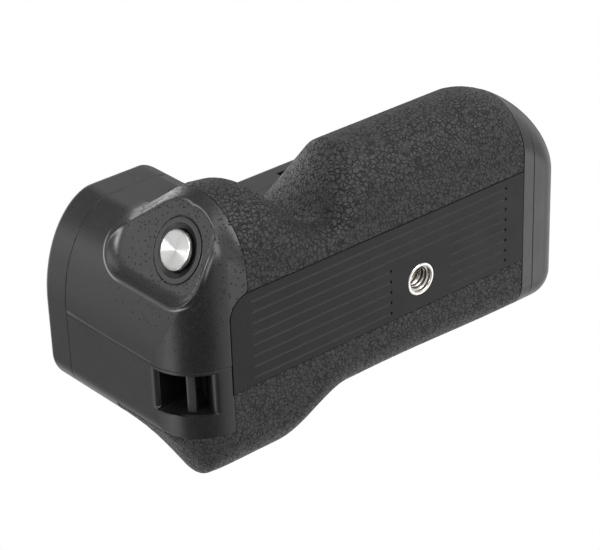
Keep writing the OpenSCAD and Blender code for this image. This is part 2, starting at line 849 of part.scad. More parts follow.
// Frame at the mouth of the battery bay
module end_frame() {
    color("#303032")
        difference() {
            skin([for (x = frame_stations) full_ring(x, seam_z)], flip = true);
            translate([frame_seam - over, bay_y - bay_w / 2, bay_z])
                cube([frame_t + 2 * over, bay_w, bay_h]);
            case_screw_holes();
        }
}

// Plate that the camera stands on, hollow round the thumbwheel
module top_plate() {
    color("#303032")
        union() {
            difference() {
                skin([
                    plan_ring(seam_z, 0), plan_ring(top_z - 1.4 * top_edge_r, 0),
                    plan_ring(top_z - 0.35 * top_edge_r, 0.35 * top_edge_r), plan_ring(top_z, top_edge_r)],
                    flip = true, thin = true);
                translate([0, 0, seam_z - over])
                    linear_extrude(hollow_z - seam_z + over)
                        polygon([
                            [hollow_left, -grip_y + grip_wall], [-grip_from, -grip_y + grip_wall],
                            [-grip_to, -front_y + plate_wall], [hollow_right, -front_y + plate_wall],
                            [hollow_right, rear_y - plate_wall], [hollow_left, rear_y - plate_wall]]);
                wheel_windows();
                translate([mount_x, mount_y, wheel_z - run_gap])
                    cylinder(r = wheel_r + run_gap, h = wheel_t + 2 * run_gap);
                translate([mount_x, mount_y, seam_z])
                    cylinder(r = shank_r + run_gap, h = top_t + over);
                contact_pocket();
                for (p = guide_places)
                    translate([p.x, p.y, guide_z])
                        cylinder(r = guide_r, h = top_t);
                latch_pocket();
                for (p = case_screw_places) {
                    translate([p.x, p.y, seam_z - over])
                        cylinder(r = case_screw_r + fit_gap, h = top_t + 2 * over);
                    translate([p.x, p.y, top_z - over - case_head_sink])
                        cylinder(r = case_head_r + fit_gap, h = top_t);
                }
            }
            for (s = [-1, 1])
                translate([mount_x + s * post_reach, mount_y, retainer_z + retainer_t])
                    difference() {
                        cylinder(r = post_r, h = hollow_z - retainer_z - retainer_t + eps);
                        translate([0, 0, -eps])
                            cylinder(r = case_screw_r, h = case_screw_grip);
                    }
            for (sx = [-1, 1], sy = [-1, 1])
                translate([
                    board_x + sx * (board_l / 2 - board_post_in),
                    board_y + sy * (board_w / 2 - board_post_in), board_z + board_t])
                    cylinder(r = post_r, h = hollow_z - board_z - board_t + eps);
        }
}

// Openings for the thumbwheel in the rear and front walls of the top plate
module wheel_windows() {
    rear_half = sqrt(pow(wheel_r + over, 2) - pow(rear_y - plate_wall - mount_y, 2));
    front_half = 11;
    front_low = 1.4;
    front_h = wheel_t / 2;
    translate([mount_x - rear_half, rear_y - 2 * plate_wall, wheel_z - run_gap])
        cube([2 * rear_half, 4 * plate_wall, wheel_t + 2 * run_gap]);
    translate([mount_x - front_half, -front_y - 2 * plate_wall, wheel_z + front_low])
        cube([2 * front_half, 3 * plate_wall + run_gap, front_h]);
}

// Seat of the contact block
module contact_pocket() {
    translate([-block_x, mount_y, hollow_z - over])
        rounded_plate(block_l + 2 * fit_gap, block_w + 2 * fit_gap, top_t, block_corner + fit_gap);
}

// Recess that takes the turned latch cam
module latch_pocket() {
    side = sqrt(pow(cam_sweep_r, 2) - pow(seam_z - latch_z, 2));
    translate([cam_x - run_gap, bay_y - cam_w / 2 - run_gap, seam_z - over])
        cube([
            cam_t + 2 * run_gap, side + cam_w / 2 + run_gap,
            cam_sweep_r + latch_z - seam_z + over]);
}

// Ribbed pad on the base
module base_pad() {
    x0 = -rear_seam + groove_end;
    x1 = frame_seam - groove_end;
    color("#333335")
        difference() {
            linear_extrude(skin_t - fit_gap) pad_outline(-fit_gap);
            translate([0, 0, -eps])
                cylinder(r = insert_r + fit_gap, h = 2 * skin_t);
            for (i = [0:groove_count - 1])
                translate([0, -pad_front + groove_edge + i * groove_pitch - groove_w / 2, -groove_d])
                    if (i < groove_long)
                        translate([x0, 0])
                            cube([x1 - x0, groove_w, 2 * groove_d]);
                    else {
                        translate([x0, 0])
                            cube([-groove_field - x0, groove_w, 2 * groove_d]);
                        translate([groove_field, 0])
                            cube([x1 - groove_field, groove_w, 2 * groove_d]);
                    }
        }
}

// Rubber over the finger bulge and the finger valley
module front_rubber() {
    inset = [for (x = front_stations) max(-front_seam + fit_gap, min(frame_seam - fit_gap, x))];
    color("#262628")
        skin([for (x = inset) rubber_ring(x, FRONT)], thin = true);
}

// Rubber over the rear of the base and the thumb rest
module rear_rubber() {
    stations = concat(
        [-end_rubber_x + fit_gap],
        [for (x = strap_stations) if (x > -end_rubber_x + over && x < -rear_seam - over) x],
        [-rear_seam, -rear_seam + fit_gap],
        [for (x = rear_stations) if (x > -rear_seam + over && x < frame_seam) x],
        [frame_seam - fit_gap]);
    color("#262628")
        skin([for (x = stations) rubber_ring(x, REAR)], flip = true, thin = true);
}

// Mat between the top plate and the camera
module top_mat() {
    margin = 1;
    end_margin = 2;
    left = hollow_left + 2 * end_margin;
    color("#1e1e20")
        translate([0, 0, top_z])
            linear_extrude(mat_t)
                difference() {
                    translate([left, -front_y + top_edge_r + margin])
                        square([
                            frame_seam - end_margin - left,
                            front_y + rear_y - 2 * top_edge_r - 2 * margin]);
                    translate([mount_x, mount_y])
                        circle(screw_r + 2 * margin);
                    translate([-block_x, mount_y])
                        square([block_l + 2 * margin, block_w + 2 * margin], center = true);
                    for (p = guide_places)
                        translate([p.x, p.y])
                            circle(guide_r + margin);
                }
}

// Threaded insert for a tripod
module tripod_insert() {
    color("#c9c6bf")
        rotate_extrude()
            polygon([
                [socket_r, 0], [insert_r, 0], [insert_r, shell_in],
                [insert_flange_r, shell_in], [insert_flange_r, shell_in + insert_flange_t],
                [insert_r, shell_in + insert_flange_t], [insert_r, insert_h], [0, insert_h],
                [0, socket_depth], [socket_r, socket_depth]]);
}

// Ring round the shutter release
module shutter_collar() {
    bore = release_r + run_gap + fit_gap;
    chamfer = 0.2;
    ring_w = 1.2;
    funnel = 0.9;
    color("#202022")
        at_release()
            rotate_extrude()
                polygon([
                    [bore, -collar_t], [collar_r, -collar_t], [collar_r, collar_lip - chamfer],
                    [collar_r - chamfer, collar_lip], [collar_r - ring_w, collar_lip], [bore, -funnel]]);
}

// Plunger of the shutter release
module shutter_button() {
    chamfer = 0.4;
    seat = release_rise - release_cap_t;
    color("#1b1b1d")
        at_release()
            rotate_extrude()
                polygon([
                    [0, stem_z], [stem_r - chamfer, stem_z], [stem_r, stem_z + chamfer], [stem_r, head_z],
                    [head_r, head_z], [head_r, seat], [0, seat]]);
}

// Turned metal cap of the shutter release
module shutter_cap() {
    chamfer = 0.3;
    rim = 0.5;
    dish = 0.5;
    seat = release_rise - release_cap_t;
    color("#d6d6d6")
        at_release()
            rotate_extrude()
                polygon([
                    [0, seat], [release_r, seat],
                    [release_r, release_rise - chamfer], [release_r - chamfer, release_rise],
                    [release_r - rim, release_rise], [0, release_rise - dish]]);
}

// Clip that keeps the plunger in its guide
module shutter_clip() {
    color("#9a9a9a")
        at_release()
            translate([0, 0, clip_z])
                difference() {
                    cylinder(r = stem_r + clip_out, h = clip_t);
                    translate([0, 0, -over])
                        cylinder(r = stem_r, h = clip_t + 2 * over);
                }
}

// Return spring of the shutter release
module shutter_spring() {
    sides = 6;
    steps = 10 * spring_turns;
    low = well_z + spring_wire;
    high = head_z - spring_wire;
    rings = [for (i = [0:steps])
        let (a = 360 * spring_turns * i / steps, z = low + (high - low) * i / steps)
        [for (k = [0:sides - 1])
            let (r = spring_r + spring_wire * cos(360 * k / sides))
            [r * cos(a), r * sin(a), z + spring_wire * sin(360 * k / sides)]]];
    color("#b8b8b8")
        at_release() skin(rings);
}

// Two-stage switch under the shutter release
module shutter_switch() {
    color("#3c3c40")
        at_release()
            union() {
                translate([-switch_body / 2, -switch_body / 2, bracket_z])
                    cube([switch_body, switch_body, switch_h]);
                translate([0, 0, bracket_z])
                    cylinder(r = plunger_r, h = switch_h + plunger_h);
            }
}

// Bracket that carries the switch behind the stem's guide
module switch_bracket() {
    length = leg_high - leg_low + 2 * leg_t;
    color("#8d8f92")
        at_release()
            union() {
                translate([-bracket_half, leg_low - leg_t, bracket_z - leg_t])
                    cube([2 * bracket_half, length, leg_t]);
                for (v = [leg_low - leg_t, leg_high])
                    translate([-bracket_half, v, bracket_z - leg_t])
                        cube([2 * bracket_half, leg_t, web_z - bracket_z + leg_t]);
            }
}

// Thumbwheel that turns the camera screw
module mount_wheel() {
    rim = 3;
    recess = 1.5;
    color("#262628")
        translate([mount_x, mount_y, wheel_z])
            difference() {
                ribbed_disc(wheel_r, wheel_t, wheel_ribs, wheel_rib);
                translate([0, 0, -over])
                    cylinder(r = shank_r, h = wheel_t + 2 * over);
                translate([0, 0, wheel_t - recess])
                    difference() {
                        cylinder(r = wheel_r - rim, h = recess + over);
                        translate([0, 0, -over])
                            cylinder(r = screw_r + rim, h = recess + 3 * over);
                    }
            }
}

// Screw that holds the camera
module camera_screw() {
    color("#cfcdc8")
        translate([mount_x, mount_y, 0])
            rotate_extrude()
                polygon([
                    [0, retainer_z - pivot_out], [pivot_r, retainer_z - pivot_out],
                    [pivot_r, wheel_z], [shank_r, wheel_z], [shank_r, top_z], [screw_r, top_z],
                    [screw_r, screw_top - screw_tip], [screw_r - screw_tip, screw_top],
                    [0, screw_top]]);
}

// Plate that keeps the thumbwheel in the top plate
module wheel_retainer() {
    length = 2 * post_reach + 2 * post_r;
    corner = 3;
    color("#7f8184")
        translate([mount_x, mount_y, retainer_z])
            difference() {
                rounded_plate(length, retainer_w, retainer_t, corner);
                translate([0, 0, -over])
                    cylinder(r = pivot_r + bearing_gap, h = retainer_t + 2 * over);
                for (s = [-1, 1])
                    translate([s * post_reach, 0, -over])
                        cylinder(r = case_screw_r + fit_gap, h = retainer_t + 2 * over);
            }
}

// Screws of the retainer
module retainer_screws() {
    head_h = 1.2;
    tip_gap = 0.5;
    color("#a9a9a9")
        for (s = [-1, 1])
            translate([mount_x + s * post_reach, mount_y, retainer_z])
                union() {
                    cylinder(r = case_screw_r, h = retainer_t + case_screw_grip - tip_gap);
                    translate([0, 0, -head_h])
                        cylinder(r = case_head_r, h = head_h);
                }
}

// Block that carries the camera contacts
module contact_block() {
    color("#18181a")
        difference() {
            translate([-block_x, mount_y, hollow_z])
                rounded_plate(block_l, block_w, top_skin + block_h, block_corner);
            for (x = pin_places())
                translate([x, mount_y, hollow_z - over])
                    cylinder(r = pin_r + bearing_gap, h = top_t + block_h);
        }
}
function pin_places() =
    [for (i = [0:pin_count - 1]) -block_x + (i - (pin_count - 1) / 2) * pin_pitch];

// Sprung contact pins
module contact_pins() {
    pin_low = hollow_z + pin_tip;
    length = top_z + block_h + pin_travel + pin_out - pin_low;
    color("#cda94a")
        for (x = pin_places())
            translate([x, mount_y, pin_low])
                rotate_extrude()
                    polygon([
                        [0, 0], [pin_r, 0], [pin_r, length - pin_tip], [pin_r - pin_tip, length],
                        [0, length]]);
}

// Pins that line up the camera
module guide_pins() {
    length = top_z + guide_h - guide_z;
    color("#c4c4c4")
        for (p = guide_places)
            translate([p.x, p.y, guide_z])
                rotate_extrude()
                    polygon([
                        [0, 0], [guide_r, 0], [guide_r, length - guide_tip],
                        [guide_r - guide_tip, length], [0, length]]);
}

// Command dial in the rear wall
module command_dial() {
    color("#242426")
        translate([-dial_x, dial_y, dial_z])
            difference() {
                ribbed_disc(dial_r, dial_t, dial_ribs, dial_rib);
                translate([0, 0, -over])
                    cylinder(r = shaft_r + bearing_gap, h = dial_t + 2 * over);
            }
}

// Shaft of the command dial
module dial_shaft() {
    color("#b5b5b5")
        translate([-dial_x, dial_y, dial_z - run_gap - bracket_plate])
            cylinder(r = shaft_r, h = dial_t + 2 * run_gap + 2 * bracket_plate);
}

// Bracket that carries the dial's shaft on the rear wall
module dial_bracket() {
    back_t = 1.2;
    back_y = dial_y - dial_r - run_gap - back_t;
    depth = inner_y - fit_gap - back_y;
    width = 8;
    low = -run_gap - bracket_plate;
    height = dial_t + 2 * run_gap + 2 * bracket_plate;
    color("#8d8f92")
        translate([-dial_x, back_y, dial_z])
            difference() {
                union() {
                    for (z = [low, dial_t + run_gap])
                        translate([-width / 2, 0, z])
                            cube([width, depth, bracket_plate]);
                    translate([-width / 2, 0, low])
                        cube([width, back_t, height]);
                }
                translate([0, dial_y - back_y, low - over])
                    cylinder(r = shaft_r, h = height + 2 * over);
            }
}

// Rear button with a flange behind the wall
module rear_key(i) {
    tip_r = 1;
    length = flange_t + run_gap + wall + key_out;
    color("#222224")
        translate([-buttons_x + i * buttons_pitch, 0, control_z])
            rotate([-90, 0, 0])
                translate([0, 0, inner_y - run_gap - flange_t])
                    rotate_extrude()
                        polygon([
                            [0, -key_tip], [tip_r, -key_tip], [tip_r, 0], [flange_r, 0],
                            [flange_r, flange_t], [key_r, flange_t], [key_r, length - key_chamfer],
                            [key_r - key_chamfer, length], [0, length]]);
}
module exposure_button() { rear_key(0); }
module focus_button() { rear_key(1); }

// Board behind the rear buttons
module button_board() {
    centre = -buttons_x + buttons_pitch / 2;
    margin = 0.4;
    length = buttons_pitch + 2 * flange_r + 2 * margin;
    height = 2 * flange_r + 1;
    dome_r = 2.2;
    tab = inner_y - fit_gap - key_board_y;
    tab_t = 1.2;
    tab_h = 4;
    color("#24603c")
        union() {
            translate([centre - length / 2, key_board_y - board_t, control_z - height / 2])
                cube([length, board_t, height]);
            for (i = [0, 1])
                translate([-buttons_x + i * buttons_pitch, key_board_y - eps, control_z])
                    rotate([-90, 0, 0])
                        cylinder(r = dome_r, h = dome_h);
            for (s = [-1, 1])
                translate([
                    centre + s * (length + tab_t) / 2 - tab_t / 2, key_board_y - board_t,
                    control_z - tab_h / 2])
                    cube([tab_t, tab + board_t, tab_h]);
        }
}

// Knob of the lock switch
module lock_switch() {
    knob_t = 1.2;
    ridge = 0.5;
    ridge_w = 0.6;
    color("#242426")
        translate([-lock_x, rear_y + run_gap, control_z])
            union() {
                translate([-lock_l / 2, 0, -lock_h / 2])
                    cube([lock_l, knob_t, lock_h]);
                for (i = [-2:2])
                    translate([(2 * i - 0.5) * ridge_w, knob_t - eps, -lock_h / 2])
                        cube([ridge_w, ridge, lock_h]);
                translate([-lock_stem / 2, -wall - 2 * run_gap, -lock_stem / 2])
                    cube([lock_stem, wall + 2 * run_gap + eps, lock_stem]);
            }
}

// Slider behind the wall that carries the lock switch
module lock_slider() {
    length = lock_slot + lock_travel + 2 * slider_lap;
    color("#56585c")
        translate([-lock_x - length / 2, inner_y - run_gap - slider_t, control_z - lock_h / 2])
            cube([length, slider_t, lock_h]);
}

// Chamber that guides the battery tray
module battery_chamber() {
    length = frame_seam - chamber_start;
    foot_h = chamber_z - shell_in;
    rear_cut = 2.2;
    rear_bar = rear_cut * sqrt(2);
    front_cut = 9;
    front_cut_l = 8;
    top_cut = 2.8;
    foot = 4;
    foot_in = 3;
    color("#4a4c50")
        translate([chamber_start, bay_y - chamber_w / 2, chamber_z])
            union() {
                difference() {
                    cube([length, chamber_w, chamber_h]);
                    translate([chamber_wall, chamber_wall, chamber_wall])
                        cube([length, bay_w, bay_h]);
                    translate([length / 2, chamber_w, 0])
                        rotate([45, 0, 0])
                            cube([length + 2 * over, rear_bar, rear_bar], center = true);
                    translate([-over, -over, chamber_h - front_cut])
                        cube([front_cut_l + over, chamber_wall + over, front_cut + over]);
                    translate([-over, -over, chamber_h - chamber_wall - fit_gap])
                        cube([length + 2 * over, top_cut + over, 2 * chamber_wall]);
                }
                for (x = [0, length - 2 * foot], y = [foot_in, chamber_w - 2 * foot - foot_in])
                    translate([x, y, -foot_h])
                        cube([foot, foot, foot_h + eps]);
            }
}

// Contact blades at the back of the chamber
module chamber_contacts() {
    blade_w = 2.4;
    blade_t = 1;
    blade_pitch = 2 * terminal_pitch;
    color("#cda94a")
        for (s = [-1, 1], i = [0, 1])
            translate([
                bay_start, bay_y + s * cell_pitch / 2 - blade_w / 2,
                battery_z + terminal_z + blade_t + i * blade_pitch])
                cube([battery_start - bay_start - run_gap, blade_w, blade_t]);
}

// Tray for two batteries
module battery_tray() {
    length = cap_face - tray_start;
    window = battery_w - 4;
    sill = 3;
    color("#5a5c60")
        translate([tray_start, bay_y - tray_w / 2, tray_z])
            difference() {
                cube([length, tray_w, tray_wall + tray_side]);
                for (i = [0, 1])
                    translate([tray_wall, tray_wall + i * cell_pitch, tray_wall])
                        cube([length, cell_pitch - tray_wall, 2 * tray_side]);
                for (s = [-1, 1])
                    translate([-over, tray_w / 2 + s * cell_pitch / 2 - window / 2, tray_wall + sill])
                        cube([tray_wall + 2 * over, window, tray_side]);
            }
}

// Battery with its row of terminal slots
module battery(s) {
    corner = 1.5;
    slot_w = 1.8;
    slot_h = 1.4;
    slot_d = 0.8;
    color("#3d3f44")
        translate([battery_start, bay_y + s * cell_pitch / 2, battery_z + battery_h / 2])
            difference() {
                rotate([90, 0, 90])
                    rounded_plate(battery_w, battery_h, battery_l, corner);
                for (i = [0:3])
                    translate([-over, -slot_w / 2, -battery_h / 2 + terminal_z + terminal_pitch * i])
                        cube([slot_d + over, slot_w, slot_h]);
            }
}
module battery_front() { battery(-1); }
module battery_rear() { battery(1); }

// End cap that closes the casing and pulls the tray
module end_cap() {
    slot_side = sqrt(pow(cam_sweep_r, 2) - pow(cap_top - cap_wall - latch_z, 2));
    color("#303032")
        difference() {
            skin([for (x = cap_stations) full_ring(x, cap_top)], flip = true);
            translate([cap_face - over, bay_y - bay_w / 2, hollow_low])
                cube([hollow_end - cap_face + over, bay_w, cap_top - cap_wall - hollow_low]);
            translate([cam_x - run_gap, bay_y - cam_w / 2 - run_gap, cap_top - cap_wall - over])
                cube([cam_t + 2 * run_gap, slot_side + cam_w / 2 + run_gap, cap_wall + 2 * over]);
            translate([knob_face, bay_y, latch_z])
                rotate([0, 90, 0])
                    cylinder(r = latch_r + run_gap, h = 2 * knob_depth);
            translate([hollow_end - over, bay_y, latch_z])
                rotate([0, 90, 0])
                    cylinder(r = spindle_r + bearing_gap, h = cap_wall + 2 * over);
        }
}

// Latch knob with a finger bar and its spindle
module latch_knob() {
    bar = 3.2;
    plate_t = 1.2;
    bar_in = 0.2;
    color("#29292b")
        translate([knob_face + run_gap, bay_y, latch_z])
            rotate([0, 90, 0])
                union() {
                    cylinder(r = latch_r, h = plate_t);
                    intersection() {
                        cylinder(r = latch_r - bar_in, h = knob_depth - run_gap - bar_in);
                        translate([-latch_r, -bar / 2, 0])
                            cube([2 * latch_r, bar, knob_depth]);
                    }
                    translate([0, 0, cam_x - knob_face - run_gap])
                        cylinder(r = spindle_r, h = knob_face + run_gap - cam_x + eps);
                }
}

// Cam that the latch turns into the top plate
module latch_cam() {
    hub_r = cam_w / 2 + 0.6;
    color("#a5a7aa")
        translate([cam_x, bay_y, latch_z])
            rotate([90, 0, 90])
                linear_extrude(cam_t)
                    difference() {
                        union() {
                            circle(hub_r);
                            translate([0, -cam_w / 2])
                                square([cam_reach, cam_w]);
                        }
                        circle(spindle_r);
                    }
}

// Main circuit board under the top plate
module main_board() {
    chip = board_l / 4;
    chip_t = 1;
    driver_l = board_l / 6;
    driver_w = board_w / 6;
    plug_l = board_l / 3;
    plug_w = board_w / 6;
    plug_t = 2.5;
    color("#24603c")
        translate([board_x, board_y, board_z])
            union() {
                rounded_plate(board_l, board_w, board_t, board_corner);
                translate([-chip, -board_w / 4, board_t - eps])
                    cube([chip, chip, chip_t]);
                translate([driver_l, plug_w / 2, board_t - eps])
                    cube([driver_l, driver_w, chip_t]);
                translate([-plug_l / 2, -board_w / 2 + plug_w / 2, -plug_t])
                    cube([plug_l, plug_w, plug_t + eps]);
            }
}

// Screws that hold the top plate
module case_screws() {
    low = seam_z - case_screw_grip + case_tip_gap;
    color("#8f9092")
        for (p = case_screw_places)
            translate([p.x, p.y, low])
                union() {
                    cylinder(r = case_screw_r, h = case_head_z - low + eps);
                    translate([0, 0, case_head_z - low])
                        cylinder(r = case_head_r, h = case_head_h);
                }
}

front_shell();
rear_shell();
shutter_housing();
strap_housing();
end_frame();
top_plate();
base_pad();
front_rubber();
rear_rubber();
top_mat();
strap_bar();
tripod_insert();
shutter_collar();
shutter_button();
shutter_cap();
shutter_clip();
shutter_spring();
shutter_switch();
switch_bracket();
mount_wheel();
camera_screw();
wheel_retainer();
retainer_screws();
contact_block();
contact_pins();
guide_pins();
command_dial();
dial_shaft();
dial_bracket();
exposure_button();
focus_button();
button_board();
lock_switch();
lock_slider();
battery_chamber();
chamber_contacts();
battery_tray();
battery_front();
battery_rear();
end_cap();
latch_knob();
latch_cam();
main_board();
case_screws();
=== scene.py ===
import math

import bmesh
import bpy
import numpy as np
from mathutils import Matrix

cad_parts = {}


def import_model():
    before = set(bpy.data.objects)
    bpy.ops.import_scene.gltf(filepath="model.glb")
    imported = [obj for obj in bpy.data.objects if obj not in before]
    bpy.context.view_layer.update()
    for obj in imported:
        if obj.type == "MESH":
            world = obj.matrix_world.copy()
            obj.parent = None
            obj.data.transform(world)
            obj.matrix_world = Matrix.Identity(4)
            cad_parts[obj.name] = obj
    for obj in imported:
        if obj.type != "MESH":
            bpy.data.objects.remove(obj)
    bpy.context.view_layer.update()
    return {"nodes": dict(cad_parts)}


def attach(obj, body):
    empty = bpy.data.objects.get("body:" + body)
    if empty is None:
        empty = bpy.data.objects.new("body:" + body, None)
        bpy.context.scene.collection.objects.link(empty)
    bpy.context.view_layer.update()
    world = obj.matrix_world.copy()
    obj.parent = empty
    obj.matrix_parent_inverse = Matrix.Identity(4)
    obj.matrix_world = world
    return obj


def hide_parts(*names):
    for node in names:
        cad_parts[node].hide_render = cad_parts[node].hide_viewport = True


# Looks of a camera battery grip. Sizes in the code are millimetres in the part's frame.
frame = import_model()
MM = 0.001
FRONT, REAR = -1, 1

# Ends, heights and seams of the casing, as in the part's source
SHUTTER_END, TRAY_END, SEAM_Z, TOP_Z, SKIN = 75.0, 52.4, 48.0, 57.0, 1.5
FRONT_SEAM, REAR_SEAM, FRAME_SEAM, CAP_SEAM, CAP_FACE, CAP_TOP = 56.0, 61.5, 36.8, 40.3, 40.6, 47.7
# Front: wall, nose over the shutter end, finger valley and bulge
FRONT_Y, GRIP_Y, GRIP_FROM, GRIP_TO = 12.2, 27.8, 45.0, 25.0
NOSE_Y, NOSE_R, NOSE_FULL = 39.5, 14.0, 53.3
NOSE_ROOT, NOSE_ROOT_R, NOSE_END, NOSE_END_R = 42.0, 16.5, 65.2, 6.2
VALLEY_X, VALLEY_LEFT, VALLEY_RIGHT, VALLEY_DROP, VALLEY_R = 28.0, 22.0, 12.5, 15.5, 5.7
GRIP_SHOULDER, BULGE_SHOULDER, SHOULDER_FROM, SHOULDER_RUN = 37.4, 46.5, 35.0, 30.0
BULGE_END, BULGE_END_Y, BULGE_POWER = 26.0, 15.5, 1.65
# Rear: wall, thumb rest, swell and rubber
REAR_Y, REAR_R, REAR_RUBBER_Z, END_RUBBER_X, END_RUBBER_Y = 23.7, 9.3, 30.0, 74.5, 18.5
THUMB_Y, THUMB_FROM, THUMB_RISE, THUMB_TO, THUMB_FALL = 8.0, 74.0, 6.7, 46.0, 23.5
SWELL_Y, SWELL_FROM = 1.3, 12.0
# Rounded ends and corners
END_R, END_FLAT, END_LEAN, GRIP_CORNER, GRIP_POWER = 14.0, 1.2, 1.0, 14.8, 1.9
REAR_CORNER, TRAY_END_R, TRAY_CORNER, TOP_EDGE = 8.5, 9.0, 8.0, 1.2
# Base pad and its grooves
PAD_FRONT, PAD_REAR, PAD_CORNER, PAD_SINK, PAD_GAP = 17.7, 8.2, 6.0, 1.5, 0.06
GROOVE_PITCH, GROOVE_R, GROOVE_Z, GROOVE_LEFT, GROOVE_RIGHT, GROOVE_CLEAR = 3.0, 0.5, -0.34, -54.9, 30.2, 10.4
DOT_X, DOT_R, DOT_LENGTH = -10.2, 0.42, 0.5
# Release, its tilted axes and the finger pocket round it
CAP_R, LATHE_MARK = 5.0, 0.2618
RELEASE = np.array([-64.9, -26.9, 14.4])
TILT = math.radians(27.8 - 90)
RELEASE_U = np.array([math.cos(TILT), math.sin(TILT), 0.0])
RELEASE_V = np.array([0.0, 0.0, 1.0])
RELEASE_N = np.array([math.sin(TILT), -math.cos(TILT), 0.0])
POCKET_LOW, POCKET_HIGH, POCKET_LEFT, POCKET_CORNER = -13.1, 23.6, -13.4, 9.0
POCKET_FILLET, POCKET_DRAFT, POCKET_DEPTH, SEAT_R, SEAT_DEPTH = 4.0, 0.35, 14.0, 8.2, 3.2
# Camera screw, latch, battery bay and case screws
MOUNT = (8.0, 7.2)
LATCH = (4.15, 37.0)
KNOB_FACE, KNOB_RECESS_R = 49.2, 8.25
BAY_HALF, BAY_LOW, BAY_HIGH, CAP_HOLLOW_LOW, CAP_HOLLOW_HIGH = 14.75, 7.6, 42.0, 21.0, 45.7
CAM_FROM, CAM_TO, CAM_SIDE = 44.5, 47.2, 1.4
SCREWS = [(-60.0, -24.8), (-64.5, 20.9), (38.55, -4.85), (38.55, 13.15)]
# Strap slot: place across the end, angles round its edge and depth
SLOT_FROM, SLOT_TO, SLOT_START, SLOT_STOP, SLOT_JAMB, SLOT_DEPTH = 0.9, 12.0, -3.0, 73.0, 1.9, 12.0
# Fineness of the meshes: rows at an edge, rounding of seams, margin of the rubber
EDGE_ROWS = np.array([0.0, 0.03, 0.07, 0.14, 0.3, 0.55])
SEAM_R, SEAM_GAP, EDGE_MARGIN = 0.1, 0.1, 0.3


# Colours and nodes
def linear(code):
    """Scene colour of an sRGB hex code."""
    parts = [int(code[i:i + 2], 16) / 255 for i in (1, 3, 5)]
    return tuple(c / 12.92 if c <= 0.04045 else ((c + 0.055) / 1.055) ** 2.4 for c in parts) + (1.0,)


def add(tree, kind, inputs=None, **settings):
    """Adds a node with its settings and values. A socket, or a node for its first output, is linked."""
    made = tree.nodes.new(kind)
    for key, value in settings.items():
        setattr(made, key, value)
    for key, value in (inputs or {}).items():
        if isinstance(value, bpy.types.Node):
            value = next(out for out in value.outputs if out.enabled)
        if isinstance(value, bpy.types.NodeSocket):
            tree.links.new(value, made.inputs[key])
        else:
            made.inputs[key].default_value = value
    return made


def per(size):
    """Texture scale for a feature of that size in millimetres."""
    return 1.0 / (size * MM)


def material(name, **values):
    """New material, its node tree and its main shader with plain values set."""
    made = bpy.data.materials.new(name)
    made.use_nodes = True
    shader = made.node_tree.nodes["Principled BSDF"]
    for key, value in values.items():
        shader.inputs[key.replace("_", " ")].default_value = value
    return made, made.node_tree, shader


def surface(tree, shader, height, relief, **linked):
    """Links the named inputs of a shader, and a relief of that height in millimetres."""
    for key, node in linked.items():
        tree.links.new(next(out for out in node.outputs if out.enabled), shader.inputs[key.replace("_", " ")])
    bump = add(tree, "ShaderNodeBump", {"Height": relief, "Strength": 1.0, "Distance": height * MM})
    tree.links.new(bump.outputs["Normal"], shader.inputs["Normal"])


# Spark-eroded moulded plastic: mottled by a grain that is drawn coarser than it is, so that it shows.
# Round a chosen place it has dark spots, painted as the shade in small pits, and pale edges that are partly wear and
# partly a painted highlight.
def moulded(name, dark, light, rough, grain=0.34, height=0.02, gloss=0.5, painted_marks_near=None):
    made, tree, shader = material(name, Specular_IOR_Level=gloss)
    where = add(tree, "ShaderNodeTexCoord").outputs["Object"]
    fine = add(tree, "ShaderNodeTexNoise", {"Vector": where, "Scale": per(grain), "Detail": 2.0, "Roughness": 0.6})
    broad = add(tree, "ShaderNodeTexNoise", {"Vector": where, "Scale": per(9.0), "Detail": 2.0})
    mottle = add(tree, "ShaderNodeMapRange", {0: fine, 1: 0.38, 2: 0.68})
    colour = add(tree, "ShaderNodeMix", {"Factor": mottle, "A": linear(dark), "B": linear(light)}, data_type="RGBA")
    smooth = add(tree, "ShaderNodeMapRange", {0: broad, 1: 0.3, 2: 0.7, 3: rough - 0.03, 4: rough + 0.03})
    if painted_marks_near:
        cells = add(tree, "ShaderNodeTexVoronoi", {"Vector": where, "Scale": per(1.0)})
        dot = add(tree, "ShaderNodeMapRange", {0: cells, 1: 0.2, 2: 0.32, 3: 1.0, 4: 0.0})
        draw = add(tree, "ShaderNodeSeparateColor", {"Color": cells.outputs["Color"]})
        draw = add(tree, "ShaderNodeMath", {0: broad, 1: 1.6, 2: draw}, operation="MULTIPLY_ADD")
        place, near, far = tuple(c * MM for c in painted_marks_near), 14.0 * MM, 34.0 * MM
        away = add(tree, "ShaderNodeVectorMath", {0: where, 1: place}, operation="DISTANCE").outputs["Value"]
        close = add(tree, "ShaderNodeMapRange", {0: away, 1: near, 2: far, 3: 0.75, 4: -0.6})
        draw = add(tree, "ShaderNodeMath", {0: draw, 1: close}, operation="ADD")
        # Dark spots: painted shade of small pits, more of them near the chosen place
        chosen = add(tree, "ShaderNodeMapRange", {0: draw, 1: 1.38, 2: 1.43})
        pit_shade = add(tree, "ShaderNodeMath", {0: dot, 1: chosen}, operation="MULTIPLY")
        colour = add(tree, "ShaderNodeMix", {"Factor": pit_shade, "A": colour, "B": linear("#020202")}, data_type="RGBA")
        smooth = add(tree, "ShaderNodeMath", {0: pit_shade, 1: 0.6, 2: smooth}, operation="MULTIPLY_ADD")
        # Pale rim from the mesh: partly wear, partly a painted highlight
        worn = add(tree, "ShaderNodeAttribute", attribute_name="worn").outputs["Fac"]
        colour = add(tree, "ShaderNodeMix", {"Factor": worn, "A": colour, "B": linear("#a4a4a2")}, data_type="RGBA")
    surface(tree, shader, height, fine, Base_Color=colour, Roughness=smooth)
    return made
